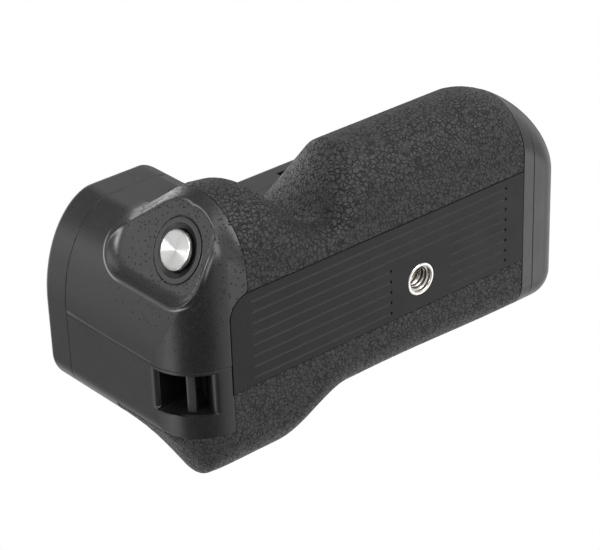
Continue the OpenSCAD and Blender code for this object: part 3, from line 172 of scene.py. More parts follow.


# Leather-like grip rubber: thin bent creases between pebbles, painted dark as shade, some of them faint, a fine skin
# and pale specks that are partly dust and partly painted glints
def leather(name, dark, light, rough, cell, height):
    made, tree, shader = material(name, Specular_IOR_Level=0.35)
    where = add(tree, "ShaderNodeTexCoord").outputs["Object"]
    bend = add(tree, "ShaderNodeTexNoise", {"Vector": where, "Scale": per(0.9 * cell), "Detail": 2.0})
    bend = add(tree, "ShaderNodeVectorMath", {0: bend.outputs["Color"], 1: (0.5, 0.5, 0.5)}, operation="SUBTRACT")
    bend = add(tree, "ShaderNodeVectorMath", {0: bend, "Scale": 1.1 * cell * MM}, operation="SCALE")
    bent = add(tree, "ShaderNodeVectorMath", {0: where, 1: bend}, operation="ADD")
    cells = add(tree, "ShaderNodeTexVoronoi", {"Vector": bent, "Scale": per(cell)}, feature="DISTANCE_TO_EDGE")
    crease = add(tree, "ShaderNodeMapRange", {0: cells, 1: 0.035, 2: 0.135, 3: 1.0, 4: 0.0})
    faint = add(tree, "ShaderNodeTexNoise", {"Vector": where, "Scale": per(1.7 * cell), "Detail": 1.0})
    depth = add(tree, "ShaderNodeMapRange", {0: faint, 1: 0.3, 2: 0.55, 3: 0.35, 4: 1.0})
    crease = add(tree, "ShaderNodeMath", {0: crease, 1: depth}, operation="MULTIPLY")
    fine = add(tree, "ShaderNodeTexNoise", {"Vector": where, "Scale": per(0.3), "Detail": 2.0})
    skin = add(tree, "ShaderNodeMath", {0: fine, 1: 0.6}, operation="MULTIPLY")
    relief = add(tree, "ShaderNodeMath", {0: skin, 1: crease}, operation="SUBTRACT")
    # Creases painted dark as shade
    shade = add(tree, "ShaderNodeMapRange", {0: crease, 2: 0.9})
    colour = add(tree, "ShaderNodeMix", {"Factor": shade, "A": linear(light), "B": linear(dark)}, data_type="RGBA")
    # Pale specks: partly dust, partly painted glints
    dust_and_glint = add(tree, "ShaderNodeTexVoronoi", {"Vector": where, "Scale": per(1.7)})
    dot = add(tree, "ShaderNodeMapRange", {0: dust_and_glint, 1: 0.04, 2: 0.08, 3: 1.0, 4: 0.0})
    draw = add(tree, "ShaderNodeSeparateColor", {"Color": dust_and_glint.outputs["Color"]})
    chosen = add(tree, "ShaderNodeMapRange", {0: draw, 1: 0.86, 2: 0.88})
    speck = add(tree, "ShaderNodeMath", {0: dot, 1: chosen}, operation="MULTIPLY")
    colour = add(tree, "ShaderNodeMix", {"Factor": speck, "A": colour, "B": linear("#9a9a98")}, data_type="RGBA")
    smooth = add(tree, "ShaderNodeMapRange", {0: crease, 3: rough, 4: rough + 0.2})
    surface(tree, shader, height, relief, Base_Color=colour, Roughness=smooth)
    return made


# Plated or drawn metal: a mirror that is slightly uneven
def metal(name, colour, rough, grain=0.5, height=0.004):
    made, tree, shader = material(name, Metallic=1.0, Base_Color=linear(colour))
    where = add(tree, "ShaderNodeTexCoord").outputs["Object"]
    fine = add(tree, "ShaderNodeTexNoise", {"Vector": where, "Scale": per(grain), "Detail": 3.0})
    smooth = add(tree, "ShaderNodeMapRange", {0: fine, 1: 0.3, 2: 0.7, 3: rough - 0.05, 4: rough + 0.07})
    surface(tree, shader, height, fine, Roughness=smooth)
    return made


# Turned metal: lathe marks, drawn coarser than they are so that they show, draw a lamp out into a fan of light
def spun(name, colour, rough):
    scale = math.pi * CAP_R / (10.0 * LATHE_MARK)
    made, tree, shader = material(name, Metallic=1.0, Base_Color=linear(colour), Roughness=rough, Anisotropic=0.95,
                                  Anisotropic_Rotation=0.25)
    tangent = add(tree, "ShaderNodeTangent", direction_type="UV_MAP", uv_map="turning")
    tree.links.new(tangent.outputs["Tangent"], shader.inputs["Tangent"])
    turns = add(tree, "ShaderNodeUVMap", uv_map="turning")
    rings = add(tree, "ShaderNodeTexWave", {"Vector": turns, "Scale": scale, "Distortion": 0.0}, bands_direction="Y")
    smooth = add(tree, "ShaderNodeMapRange", {0: rings.outputs["Fac"], 3: rough - 0.04, 4: rough + 0.05})
    tree.links.new(smooth.outputs["Result"], shader.inputs["Roughness"])
    return made


# ABS of the casing, nearly black with a soft sheen; round the finger pocket its pits are painted dark as shade and its
# rim pale, as wear and as a painted highlight
BODY = moulded("moulded_abs", "#0e0e0f", "#242426", 0.34, painted_marks_near=(-60.0, -33.0, 12.0))
# ABS of the pad, dull and even
PAD = moulded("satin_abs", "#131315", "#19191b", 0.5, 0.5, 0.008, 0.22)
# The same ABS, painted paler in the grooves as a highlight
GROOVE = moulded("scuffed_abs", "#2c2c2e", "#343436", 0.5, 0.5, 0.008, 0.22)
# ABS inside the strap slot, where almost no light comes
SLOT = moulded("unlit_abs", "#040404", "#070707", 0.8, 0.5, 0.01, 0.1)
# Nylon of the strap bar, smooth and a little paler
BAR = moulded("moulded_nylon", "#2a2a2b", "#353536", 0.36, 0.4, 0.006)
# ABS of the collar, smooth enough to mirror softly
COLLAR = moulded("polished_abs", "#161617", "#1f1f20", 0.34, 0.5, 0.004)
# ABS of knobs and buttons, black with a silky sheen
CONTROL = moulded("control_abs", "#161617", "#1f1f20", 0.4, 0.4, 0.008)
# Glass-filled nylon of the inner frames, grey and dull
INNER = moulded("glass_filled_nylon", "#3a3c40", "#46484c", 0.5, 0.6, 0.01)
# Polycarbonate of the batteries, dark grey and even
CELL = moulded("battery_polycarbonate", "#2a2c31", "#33353a", 0.42, 0.5, 0.008)
# Solder mask over a board, a green skin with some gloss
BOARD = moulded("solder_mask", "#174a2d", "#1f5c39", 0.45, 0.8, 0.01)
# Smooth rubber of the mat, without gloss
MAT = moulded("smooth_rubber", "#18181a", "#1f1f21", 0.7, 0.5, 0.02)
# Grip rubber with a moulded leather grain, its creases painted black as shade and its pebbles dark grey
GRIP = leather("grained_rubber", "#010101", "#2d2d2f", 0.48, 1.2, 0.34)
# Nickel plate of the tripod insert, warm and bright, and its roots, painted darker as the shade in the thread's gaps
NICKEL = metal("nickel_plate", "#c8c5bf", 0.22)
THREAD_ROOT = metal("unpolished_thread_root", "#4b4641", 0.45)
# Zinc-plated steel of screws, shafts and brackets, a cool mirror with a slight blur
STEEL = metal("zinc_plated_steel", "#c6c6c4", 0.3)
# Gold plate of the contacts, a warm and clear mirror
GOLD = metal("gold_plate", "#d8b45a", 0.22)
# Spun aluminium of the release's cap, pale with a fan of light
ALUMINIUM = spun("spun_aluminium", "#b8b8b7", 0.3)


# Curves of the casing, as in the part's source
def clamp01(t):
    return np.clip(t, 0.0, 1.0)


def ease(t):
    u = clamp01(t)
    return u * u * (3 - 2 * u)


def drop(t, power=2.0):
    return 1 - np.power(np.maximum(0.0, 1 - clamp01(t) ** power), 1 / power)


def dip(x):
    t = x + VALLEY_X
    return (1 + np.cos(math.pi * clamp01(np.where(t < 0, -t / VALLEY_LEFT, t / VALLEY_RIGHT)))) / 2


def tray_corner(x):
    return TRAY_CORNER * drop((x - TRAY_END + TRAY_CORNER) / TRAY_CORNER)


def front_wall(x):
    return (GRIP_Y - (GRIP_Y - FRONT_Y) * ease((x + GRIP_FROM) / (GRIP_FROM - GRIP_TO))
            - (GRIP_Y - END_FLAT) * drop((-x - SHUTTER_END + GRIP_CORNER) / GRIP_CORNER, GRIP_POWER)
            - tray_corner(x))


def rear_wall(x):
    return REAR_Y - REAR_CORNER * drop((-x - SHUTTER_END + REAR_CORNER) / REAR_CORNER) - tray_corner(x)


def front_depth(x):
    end = drop((x - BULGE_END) / (TRAY_END - BULGE_END + SKIN / 3), BULGE_POWER)
    nose = NOSE_Y - VALLEY_DROP * dip(x) - (NOSE_Y - BULGE_END_Y) * end
    w = front_wall(x)
    return w + (nose - w) * ease((x + SHUTTER_END) / (SHUTTER_END - NOSE_FULL))


def rear_depth(x):
    thumb = ease((x + THUMB_FROM) / THUMB_RISE) * (1 - ease((x + THUMB_TO) / THUMB_FALL))
    return rear_wall(x) + THUMB_Y * thumb + SWELL_Y * ease((x + SWELL_FROM) / (SWELL_FROM + FRAME_SEAM))


def base_z(x):
    return (END_R * drop((-x - SHUTTER_END + END_R) / END_R)
            + TRAY_END_R * drop((x - TRAY_END + TRAY_END_R) / TRAY_END_R))


def radius_at(x, side, low):
    full = REAR_R + 0 * x
    if side == FRONT:
        full = (NOSE_R - (NOSE_R - VALLEY_R) * dip(x)
                + (NOSE_ROOT_R - NOSE_R) * ease((-x - NOSE_ROOT) / (FRONT_SEAM - NOSE_ROOT))
                + (NOSE_END_R - NOSE_ROOT_R) * ease((-x - FRONT_SEAM) / (NOSE_END - FRONT_SEAM)))
    return np.maximum(0.4, full - low)


def rubber_edge(x, side):
    """Depth on the base at which the rubber starts."""
    low = base_z(x)
    if side == FRONT:
        return np.minimum(PAD_FRONT, front_depth(x) - radius_at(x, side, low) - EDGE_MARGIN)
    end = np.minimum(END_RUBBER_Y, rear_depth(x) - radius_at(x, side, low) - EDGE_MARGIN)
    return np.where(x > -REAR_SEAM, PAD_REAR, end)


def lean(points):
    amount = ease((-points[..., 0] - REAR_SEAM) / (SHUTTER_END - REAR_SEAM))
    points[..., 0] -= END_LEAN * points[..., 2] / TOP_Z * amount
    return points


class Section:
    """Casing outline at stations x, from depth start on the base round the edge to the shoulder and up the wall."""

    def __init__(self, x, side, start, low=None):
        self.x, self.side, self.start = x, side, start + 0 * x
        self.low = base_z(x) if low is None else low
        self.w = front_wall(x) if side == FRONT else rear_wall(x)
        self.zw = REAR_RUBBER_Z + 0 * x
        if side == FRONT:
            self.zw = GRIP_SHOULDER + (BULGE_SHOULDER - GRIP_SHOULDER) * ease((x + SHOULDER_FROM) / SHOULDER_RUN)
        depth = front_depth(x) if side == FRONT else rear_depth(x)
        self.r = radius_at(x, side, self.low)
        self.cy, self.cz = depth - self.r, self.low + self.r
        vy, vz = self.w - self.cy, self.zw - self.cz
        self.a = np.arctan2(vz, vy) - np.arccos(np.minimum(1.0, self.r / np.hypot(vy, vz)))
        self.flat = self.cy - self.start
        self.arc = self.r * (self.a + math.pi / 2)
        self.ty, self.tz = self.cy + self.r * np.cos(self.a), self.cz + self.r * np.sin(self.a)
        self.line = np.hypot(self.w - self.ty, self.zw - self.tz)
        self.corner = self.flat + self.arc + self.line

    def points(self, d, inset=0.0):
        """Points at distances d along the outline, one row of d for each station, set back by inset."""
        def col(v):
            return v[:, None]
        t = -math.pi / 2 + np.clip((d - col(self.flat)) / col(self.r), 0.0, col(self.a) + math.pi / 2)
        k = np.clip((d - col(self.flat + self.arc)) / col(self.line), 0.0, 1.0)
        up = np.maximum(0.0, d - col(self.corner))
        y = np.where(d < col(self.flat), col(self.start) + d, col(self.cy) + col(self.r) * np.cos(t))
        z = np.where(d < col(self.flat), col(self.low), col(self.cz) + col(self.r) * np.sin(t))
        y = y + k * col(self.w - self.ty) - inset * np.cos(t) * (up == 0) - inset * (up > 0)
        z = z + k * col(self.zw - self.tz) + up - inset * np.sin(t) * (up == 0)
        return np.stack([np.broadcast_to(col(self.x), y.shape), self.side * y, z], axis=-1)


def rows(total, count, tight_start=True, tight_end=True):
    """Distances along lines of those lengths, closer together at the chosen ends."""
    total = np.asarray(total)[:, None]
    first = EDGE_ROWS if tight_start else np.zeros(1)
    last = EDGE_ROWS[::-1] if tight_end else np.zeros(1)
    inner = np.linspace(0, 1, count + 2)[1:-1]
    a, b = first[-1], last[0]
    return np.concatenate([first + 0 * total, a + (total - a - b) * inner, total - last], axis=1)


def stations(start, stop, step):
    """Stations that are closer together at both ends."""
    return rows([stop - start], max(2, int((stop - start) / step)))[0] + start


def grid_normals(points, outward):
    """Normals of a grid of points, turned to the side of outward on average."""
    normal = np.cross(np.gradient(points, axis=0), np.gradient(points, axis=1))
    normal /= np.maximum(1e-9, np.linalg.norm(normal, axis=-1, keepdims=True))
    return normal if np.sum(normal * outward) > 0 else -normal


def rounding(distance, radius):
    """How far a surface falls back at that distance from a rounded edge."""
    near = np.clip(radius - distance, 0.0, radius)
    return radius - np.sqrt(radius * radius - near * near)


# Pebbles of the grip rubber, from jittered cells
def jitter(i, j, k, n):
    h = (i * 73856093) ^ (j * 19349663) ^ (k * 83492791) ^ (n * 2654435)
    h = (h ^ (h >> 13)) * 1274126177 & 0x7FFFFFFF
    return ((h ^ (h >> 16)) & 0xFFFF) / 65536.0


def pebbles(points, cell):
    """Height from 0 in the creases to 1 on the pebbles."""
    crease = 0.35
    p = points.reshape(-1, 3) / cell
    base = np.floor(p).astype(np.int64)
    first = np.full(len(p), 9.0)
    second = np.full(len(p), 9.0)
    for step in np.ndindex(3, 3, 3):
        c = base + (np.array(step) - 1)
        at = np.stack([c[:, n] + jitter(c[:, 0], c[:, 1], c[:, 2], n) for n in range(3)], axis=1)
        d = np.linalg.norm(at - p, axis=1)
        second = np.minimum(second, np.maximum(first, d))
        first = np.minimum(first, d)
    return ease((second - first) / crease).reshape(points.shape[:-1])


# Meshes
def mesh_piece(name, points, faces, mat, angle=40.0, worn=None):
    """Object from points in millimetres, with its wear and painted highlight, its normals outward and its sharp edges
    marked.
    """
    mesh = bpy.data.meshes.new(name)
    mesh.from_pydata((np.asarray(points, dtype=float) * MM).tolist(), [], faces)
    if worn is not None:
        mesh.attributes.new("worn", "FLOAT", "POINT").data.foreach_set("value", worn.ravel().astype(np.float32))
    return settle(name, mesh, mat, angle)


def settle(name, mesh, mat, angle=40.0):
    """Cleans a mesh, smooths it and puts it in the scene."""
    work = bmesh.new()
    work.from_mesh(mesh)
    bmesh.ops.remove_doubles(work, verts=work.verts, dist=2e-6)
    bmesh.ops.dissolve_degenerate(work, edges=work.edges, dist=1e-6)
    bmesh.ops.recalc_face_normals(work, faces=work.faces)
    work.to_mesh(mesh)
    work.free()
    mesh.polygons.foreach_set("use_smooth", [True] * len(mesh.polygons))
    mesh.set_sharp_from_angle(angle=math.radians(angle))
    mesh.materials.clear()
    mesh.materials.append(mat)
    made = bpy.data.objects.new(name, mesh)
    bpy.context.scene.collection.objects.link(made)
    return made


def paint(piece, mat, chosen):
    """Gives a second material to the faces whose centres, in millimetres, are chosen."""
    piece.data.materials.append(mat)
    for polygon in piece.data.polygons:
        if chosen(*(polygon.center / MM)):
            polygon.material_index = 1
    return piece


def loft_faces(count, around, first=0, thin=False):
    """Faces of a closed loft of rings, with its two ends closed."""
    faces = []
    for i in range(count - 1):
        a = first + i * around
        faces += [(a + j, a + (j + 1) % around, a + around + (j + 1) % around, a + around + j) for j in range(around)]
    for end in (first, first + (count - 1) * around):
        if thin:
            faces += [(end + j, end + j + 1, end + around - 2 - j, end + around - 1 - j)
                      for j in range(around // 2 - 1)]
        else:
            faces.append(tuple(end + j for j in range(around)))
    return faces


def loft(name, rings, mat, thin=False, angle=40.0, worn=None):
    """Solid through a row of rings."""
    count, around = rings.shape[:2]
    return mesh_piece(name, rings.reshape(-1, 3), loft_faces(count, around, 0, thin), mat, angle, worn)


def lathe(name, profile, place, mat, steps=96, angle=30.0):
    """Turned solid from a closed or axis-to-axis profile of (radius, height), placed by a function."""
    turn = np.linspace(0, 2 * math.pi, steps, endpoint=False)
    rings = [np.stack([r * np.cos(turn), r * np.sin(turn), z + 0 * turn], axis=1) for r, z in profile]
    n = len(profile)
    faces = []
    for i in range(n):
        a, b = i * steps, (i + 1) % n * steps
        faces += [(a + j, a + (j + 1) % steps, b + (j + 1) % steps, b + j) for j in range(steps)]
    return mesh_piece(name, place(np.concatenate(rings)), faces, mat, angle)


def at_release(points):
    return RELEASE + points[:, :1] * RELEASE_U + points[:, 1:2] * RELEASE_V + points[:, 2:] * RELEASE_N


def box_mesh(low, high):
    """Plain box for cutting."""
    points = [(x, y, z) for x in (low[0], high[0]) for y in (low[1], high[1]) for z in (low[2], high[2])]
    faces = [(0, 1, 3, 2), (4, 6, 7, 5), (0, 4, 5, 1), (2, 3, 7, 6), (0, 2, 6, 4), (1, 5, 7, 3)]
    return points, faces


def prism_mesh(outline, low, high):
    """Upright prism for cutting."""
    points = [(p[0], p[1], z) for z in (low, high) for p in outline]
    return points, loft_faces(2, len(outline))


def post_mesh(place, radius, low, high, steps=48):
    """Upright round post for cutting."""
    turn = np.linspace(0, 2 * math.pi, steps, endpoint=False)
    return prism_mesh([(place[0] + radius * math.cos(t), place[1] + radius * math.sin(t)) for t in turn], low, high)


def evaluated(piece):
    """Plain mesh of an object with its modifiers, which are then removed."""
    done = bpy.data.meshes.new_from_object(piece.evaluated_get(bpy.context.evaluated_depsgraph_get()))
    piece.modifiers.clear()
    return done


def cut(piece, tools, mat, angle=40.0):
    """Takes the tools out of a piece, one after the other."""
    for points, faces in tools:
        tool = mesh_piece("tool", points, faces, mat)
        change = piece.modifiers.new("cut", "BOOLEAN")
        change.operation, change.solver, change.object = "DIFFERENCE", "EXACT", tool
        piece.data = evaluated(piece)
        bpy.data.objects.remove(tool)
    name, mesh = piece.name, piece.data
    bpy.data.objects.remove(piece)
    return settle(name, mesh, mat, angle)


def place_piece(piece, body, slot, *nodes):
    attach(piece, body)
    if nodes:
        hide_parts(*nodes)


# Grip rubber over the casing, with rounded borders
def rubber_grid(x, side, count, joined=0):
    """Rings of one length of rubber; joined tells the end that goes on into another length."""
    gap, sunk, border, far = 0.05, 0.04, 0.3, 3.0
    pebble_depth, pebble_size, plain_border = 0.03, 1.6, 0.8
    shape = Section(x, side, rubber_edge(x, side) + gap)
    d = rows(shape.corner - gap, count)
    outer = lean(shape.points(d))
    inner = lean(shape.points(d, SKIN - 0.1))
    normal = grid_normals(outer, np.array([0.0, side, -0.4]))
    first, last = (x - x[0])[:, None] + 0 * d, (x[-1] - x)[:, None] + 0 * d
    if joined < 0:
        first = first + far * ease((outer[..., 1] - END_RUBBER_Y) / 0.6)
    if joined > 0:
        last = last + far
    edge = np.minimum(np.minimum(d, d[:, -1:] - d), np.minimum(first, last))
    grain = pebble_depth * (pebbles(outer, pebble_size) - 1.0) * ease(edge / plain_border) - sunk
    outer = outer + normal * (grain - rounding(edge, border))[..., None]
    return np.concatenate([outer, inner[:, ::-1]], axis=1)


front_grid = rubber_grid(stations(-FRONT_SEAM + 0.06, FRAME_SEAM - 0.04, 0.45), FRONT, 158)
place_piece(loft("front_rubber_skin", front_grid, GRIP, thin=True), "casing", "grip_rubber", "front_rubber")

end_grid = rubber_grid(stations(-END_RUBBER_X + 0.1, -REAR_SEAM, 0.4), REAR, 70, 1)
main_grid = rubber_grid(stations(-REAR_SEAM + 0.01, FRAME_SEAM - 0.04, 0.45), REAR, 88, -1)
rear_points = np.concatenate([end_grid.reshape(-1, 3), main_grid.reshape(-1, 3)])
rear_faces = (loft_faces(*end_grid.shape[:2], 0, True)
              + loft_faces(*main_grid.shape[:2], len(end_grid.reshape(-1, 3)), True))
rear_rubber = mesh_piece("rear_rubber_skin", rear_points, rear_faces, GRIP)
place_piece(rear_rubber, "casing", "grip_rubber", "rear_rubber")


# Shutter housing: dense shell whose points are pressed in for the finger pocket
def press_pad(points, normal_z):
    """Sets the base back where the pad lies."""
    x, y = points[..., 0], points[..., 1]
    qx, qy = -REAR_SEAM + PAD_CORNER - x, -PAD_FRONT + PAD_CORNER - y
    corner = np.hypot(np.maximum(qx, 0), np.maximum(qy, 0)) + np.minimum(np.maximum(qx, qy), 0) - PAD_CORNER
    inside = -np.maximum(corner, y - PAD_REAR)
    points[..., 2] += PAD_SINK * ease((inside + 0.25) / 0.2) * (normal_z < -0.9)
    return points


def fuller_shoulder(u, v):
    """How far the shoulder above the pocket stands out, to meet the pocket in a crisp bowed edge."""
    start_u, start_v, length, bow, rise, fade = 0.5, 18.9, 20.6, 2.1, 1.78, 3.2
    edge_u, edge_v = 0.544, 0.84
    along = (edge_u * (u - start_u) - edge_v * (v - start_v)) / length
    beyond = edge_v * (u - start_u) + edge_u * (v - start_v) - bow * np.sin(math.pi * clamp01(along))
    swell = np.sin(math.pi * clamp01(0.05 + 0.9 * along))
    return rise * swell * (1 - ease(beyond / fade)) * ease((beyond + 9.0) / 4.0)


def press_pocket(points):
    """Finger pocket with an upright wall, a filleted floor and a seat for the collar, and how pale its rim is painted,
    as wear and as a highlight.
    """
    rel = points - RELEASE
    u, v, h = rel @ RELEASE_U, rel @ RELEASE_V, rel @ RELEASE_N
    fuller = fuller_shoulder(u, v)
    points, h = points + fuller[..., None] * RELEASE_N, h + fuller
    q_u = POCKET_LEFT + POCKET_CORNER - u
    q_v = np.abs(v - (POCKET_LOW + POCKET_HIGH) / 2) - (POCKET_HIGH - POCKET_LOW) / 2 + POCKET_CORNER
    inside = POCKET_CORNER - np.hypot(np.maximum(q_u, 0), np.maximum(q_v, 0)) - np.minimum(np.maximum(q_u, q_v), 0)
    run = np.clip(POCKET_FILLET - (inside - POCKET_DRAFT), 0.0, POCKET_FILLET)
    floor = POCKET_FILLET - np.sqrt(POCKET_FILLET * POCKET_FILLET - run * run)
    floor = floor + POCKET_DEPTH * clamp01((POCKET_DRAFT - inside) / POCKET_DRAFT)
    floor = np.where(inside > 0, floor, 60.0)
    radius = np.hypot(u, v)
    floor = floor - SEAT_DEPTH * ease((SEAT_R - radius) / 0.2)
    soft = 0.17 - 0.07 * ease((v - 3.0) / 5.0) * ease((u + 2.0) / 3.0)
    lowered = h - soft * np.log1p(np.exp(np.clip((h - floor) / soft, -40.0, 40.0)))
    # Pale mark along the pocket's rim and its right ridge: partly wear, partly a painted highlight
    wall = np.exp(-((inside - 0.05) / 0.17) ** 2) * (1 - ease((h - lowered) / 0.5)) * ease((h - 0.6) / 1.5)
    wall = wall * (1 - 0.75 * ease((v + 9.0) / 5.0) * ease((17.0 - v) / 5.0))
    edge = np.exp(-((h - floor) / 0.1) ** 2) * ease((inside - 3.0) / 2.0)
    edge = edge * ease((radius - 8.7) / 1.0) * ease((6.0 - v) / 5.0)
    return points + (lowered - h)[..., None] * RELEASE_N, np.maximum(0.8 * wall, 0.4 * edge)


def shutter_housing():
    middle_gap, crease_rows, crease_steps, far = 0.07, 7, 40, 3.0
    turn = np.linspace(0, math.pi / 2, 150)
    end = -SHUTTER_END + END_R * (1 - np.cos(turn))
    x = np.concatenate([end, stations(-SHUTTER_END + END_R, -FRONT_SEAM - 0.01, 0.16)[1:]])
    shape = Section(x, FRONT, middle_gap)
    low_rows = rows(shape.corner, 380, True, False)
    wall_rows = shape.corner[:, None] + rows(SEAM_Z - SEAM_GAP - shape.zw, 26, False, True)[:, 1:]
    d = np.concatenate([low_rows, wall_rows], axis=1)
    points = shape.points(d)
    crease = low_rows.shape[1] - 1
    for _ in range(crease_steps):
        near = points[:, crease - crease_rows - 1:crease + crease_rows + 2]
        mean = (near[:, :-2] + near[:, 2:]) / 2
        points[:, crease - crease_rows:crease + crease_rows + 1] += 0.5 * (mean - near[:, 1:-1])
    points = lean(points)
    normal = grid_normals(points, np.array([-0.3, -1.0, -0.3]))
    side = (x[-1] - x)[:, None] + far * ease((d - shape.corner[:, None]) / 2.0 + 1.0)
    edge = np.minimum(np.minimum(d, d[:, -1:] - d), side)
    points, worn = press_pocket(points - normal * rounding(edge, SEAM_R)[..., None])
    points = press_pad(points, normal[..., 2])
    top = lean(np.stack([x, 0 * x - middle_gap, 0 * x + SEAM_Z - SEAM_GAP], axis=1))[:, None]
    worn = np.concatenate([worn, np.zeros((len(x), 1))], axis=1)
    return loft("shutter_housing_shell", np.concatenate([points, top], axis=1), BODY, worn=worn)


place_piece(shutter_housing(), "casing", "body_plastic", "shutter_housing")


# Strap housing: dense end shell whose points are pressed in for the strap slot
def press_slot(points, along, inward):
    """Strap slot with rounded jambs; along is the distance round the end's edge."""
    y = points[..., 1]
    side = ease((np.minimum(y - SLOT_FROM, SLOT_TO - y) + 0.05) / 0.2)
    ends = np.minimum(along - math.radians(SLOT_START) * END_R, math.radians(SLOT_STOP) * END_R - along)
    jamb = SLOT_JAMB - np.sqrt(np.maximum(0.0, SLOT_JAMB * SLOT_JAMB - np.clip(ends, 0, SLOT_JAMB) ** 2))
    fall = np.where(ends < SLOT_JAMB, jamb, SLOT_DEPTH)
    return points + inward * (np.minimum(fall, SLOT_DEPTH) * side)[..., None]


def strap_housing():
    middle_gap, under_gap, far = 0.05, 0.06, 9.0
    climb = np.arange(24.0, END_R + 0.05, -0.25)
    turn = np.linspace(0, math.pi / 2, 100)[1:]
    along = np.concatenate([-(climb - END_R), END_R * turn])
    x = np.concatenate([0 * climb - SHUTTER_END, -SHUTTER_END + END_R * (1 - np.cos(turn))])
    low = np.concatenate([climb, END_R * (1 - np.sin(turn))])
    keep = x < -REAR_SEAM - 0.6
    tail = -REAR_SEAM - 0.03 - EDGE_ROWS[::-1]
    x = np.concatenate([x[keep], tail])
    along = np.concatenate([along[keep], END_R * np.arccos((-SHUTTER_END + END_R - tail) / END_R)])
    low = np.concatenate([low[keep], base_z(tail)])
    shape = Section(x, REAR, middle_gap, low)
    edge_y = np.minimum(END_RUBBER_Y, shape.cy - EDGE_MARGIN)
    d = rows(edge_y - middle_gap, 78)
    covered = (x > -END_RUBBER_X)[:, None]
    edge = np.minimum(d, (x[-1] - x)[:, None])
    edge = np.minimum(edge, np.where(covered, d[:, -1:] - d, far))
    turn = np.clip(along / END_R, 0, math.pi / 2)[:, None] + 0 * d
    inward = np.stack([np.cos(turn), 0 * d, np.sin(turn)], axis=-1)
    flat = shape.points(d) + inward * rounding(edge, SEAM_R)[..., None]
    flat = press_slot(flat, along[:, None] + 0 * d, inward)
    flat = press_pad(flat, -np.sin(turn))
    bend = (edge_y - middle_gap + under_gap)[:, None] + (shape.corner - edge_y - 0.01)[:, None] * np.linspace(0, 1, 26)
    under = np.where(covered[..., None], shape.points(bend, SKIN), shape.points(bend))
    up = rows(SEAM_Z - SEAM_GAP - under_gap - shape.zw, 30, False, True)
    wall = shape.points(shape.corner[:, None] + under_gap + up)
    top = np.stack([x, 0 * x + middle_gap, 0 * x + SEAM_Z - SEAM_GAP], axis=1)[:, None]
    return loft("strap_housing_shell", lean(np.concatenate([flat, under, wall, top], axis=1)), BODY)


def in_slot(x, y, z):
    """Whether a place lies on the slot's inner faces."""
    across, up = x + SHUTTER_END - END_R, z - END_R
    return (SLOT_FROM < y < SLOT_TO + 0.1 and END_R - math.hypot(across, up) > 2.4
            and -13.0 < across < 0.5 and up < 2.0)


place_piece(paint(strap_housing(), SLOT, in_slot), "casing", "body_plastic", "strap_housing")


def strap_bar():
    """Bar across the strap slot, with a rounded square section."""
    angle, half_out, half_across, power = math.radians(42), 0.9, 1.1, 0.45
    out = np.array([-math.cos(angle), 0, -math.sin(angle)])
    across = np.array([math.sin(angle), 0, -math.cos(angle)])
    middle = np.array([-SHUTTER_END + END_R, 0, END_R]) + out * (END_R - 2.0 - half_out)
    turn = np.linspace(0, 2 * math.pi, 40, endpoint=False)
    a = half_out * np.sign(np.cos(turn)) * np.abs(np.cos(turn)) ** power
    b = half_across * np.sign(np.sin(turn)) * np.abs(np.sin(turn)) ** power
    ring = middle + a[:, None] * out + b[:, None] * across
    return loft("strap_bar_round", np.array([ring + (0, y, 0) for y in np.linspace(0.3, 12.6, 12)]), BAR)


place_piece(strap_bar(), "casing", "dark_metal", "strap_bar")


# Frame and cap at the tray end
def whole_rings(x, high, from_end, count=110):
    """Rings round both sides of the casing, up to a height, rounded at the top and at the ends."""
    sides = []
    for side in (FRONT, REAR):
        shape = Section(x, side, 0.0)
        low_rows = rows(shape.corner, count, False, False)
        wall_rows = shape.corner[:, None] + rows(high - shape.zw, 24, False, True)[:, 1:]
        d = np.concatenate([low_rows, wall_rows], axis=1)
        points = shape.points(d)
        normal = grid_normals(points, np.array([0.0, side, -0.5]))
        edge = np.minimum(d[:, -1:] - d, from_end[:, None])
        sides.append(points - normal * rounding(edge, SEAM_R)[..., None])
    return np.concatenate([sides[0][:, ::-1], sides[1][:, 1:]], axis=1)


def bay_box(start, stop, low, high):
    return box_mesh((start, LATCH[0] - BAY_HALF, low), (stop, LATCH[0] + BAY_HALF, high))


def end_frame():
    x = stations(FRAME_SEAM + 0.02, CAP_SEAM + 0.18, 0.35)
    ring = loft("end_frame_ring", whole_rings(x, SEAM_Z - 0.07, np.minimum(x - x[0], x[-1] - x)), BODY)
    return cut(ring, [bay_box(30, 45, BAY_LOW, BAY_HIGH)], BODY)


def end_cap():
    turn = np.linspace(0, math.pi / 2, 48)[1:]
    x = np.concatenate([CAP_FACE + EDGE_ROWS, np.linspace(CAP_FACE + 0.8, TRAY_END - TRAY_END_R, 8),
                        TRAY_END - TRAY_END_R * (1 - np.sin(turn))])
    shell = loft("end_cap_shell", whole_rings(x, CAP_TOP, x - x[0]), BODY)
    post, faces = post_mesh(LATCH, KNOB_RECESS_R, KNOB_FACE, 60, 64)
    recess = [(z, x, y) for x, y, z in post]
    cam_slot = box_mesh((CAM_FROM, CAM_SIDE, CAP_HOLLOW_HIGH - 0.2), (CAM_TO, 15.2, 48.5))
    return cut(shell, [(recess, faces), bay_box(40, CAM_TO, CAP_HOLLOW_LOW, CAP_HOLLOW_HIGH), cam_slot], BODY)


place_piece(end_frame(), "casing", "body_plastic", "end_frame")
place_piece(end_cap(), "tray", "body_plastic", "end_cap")


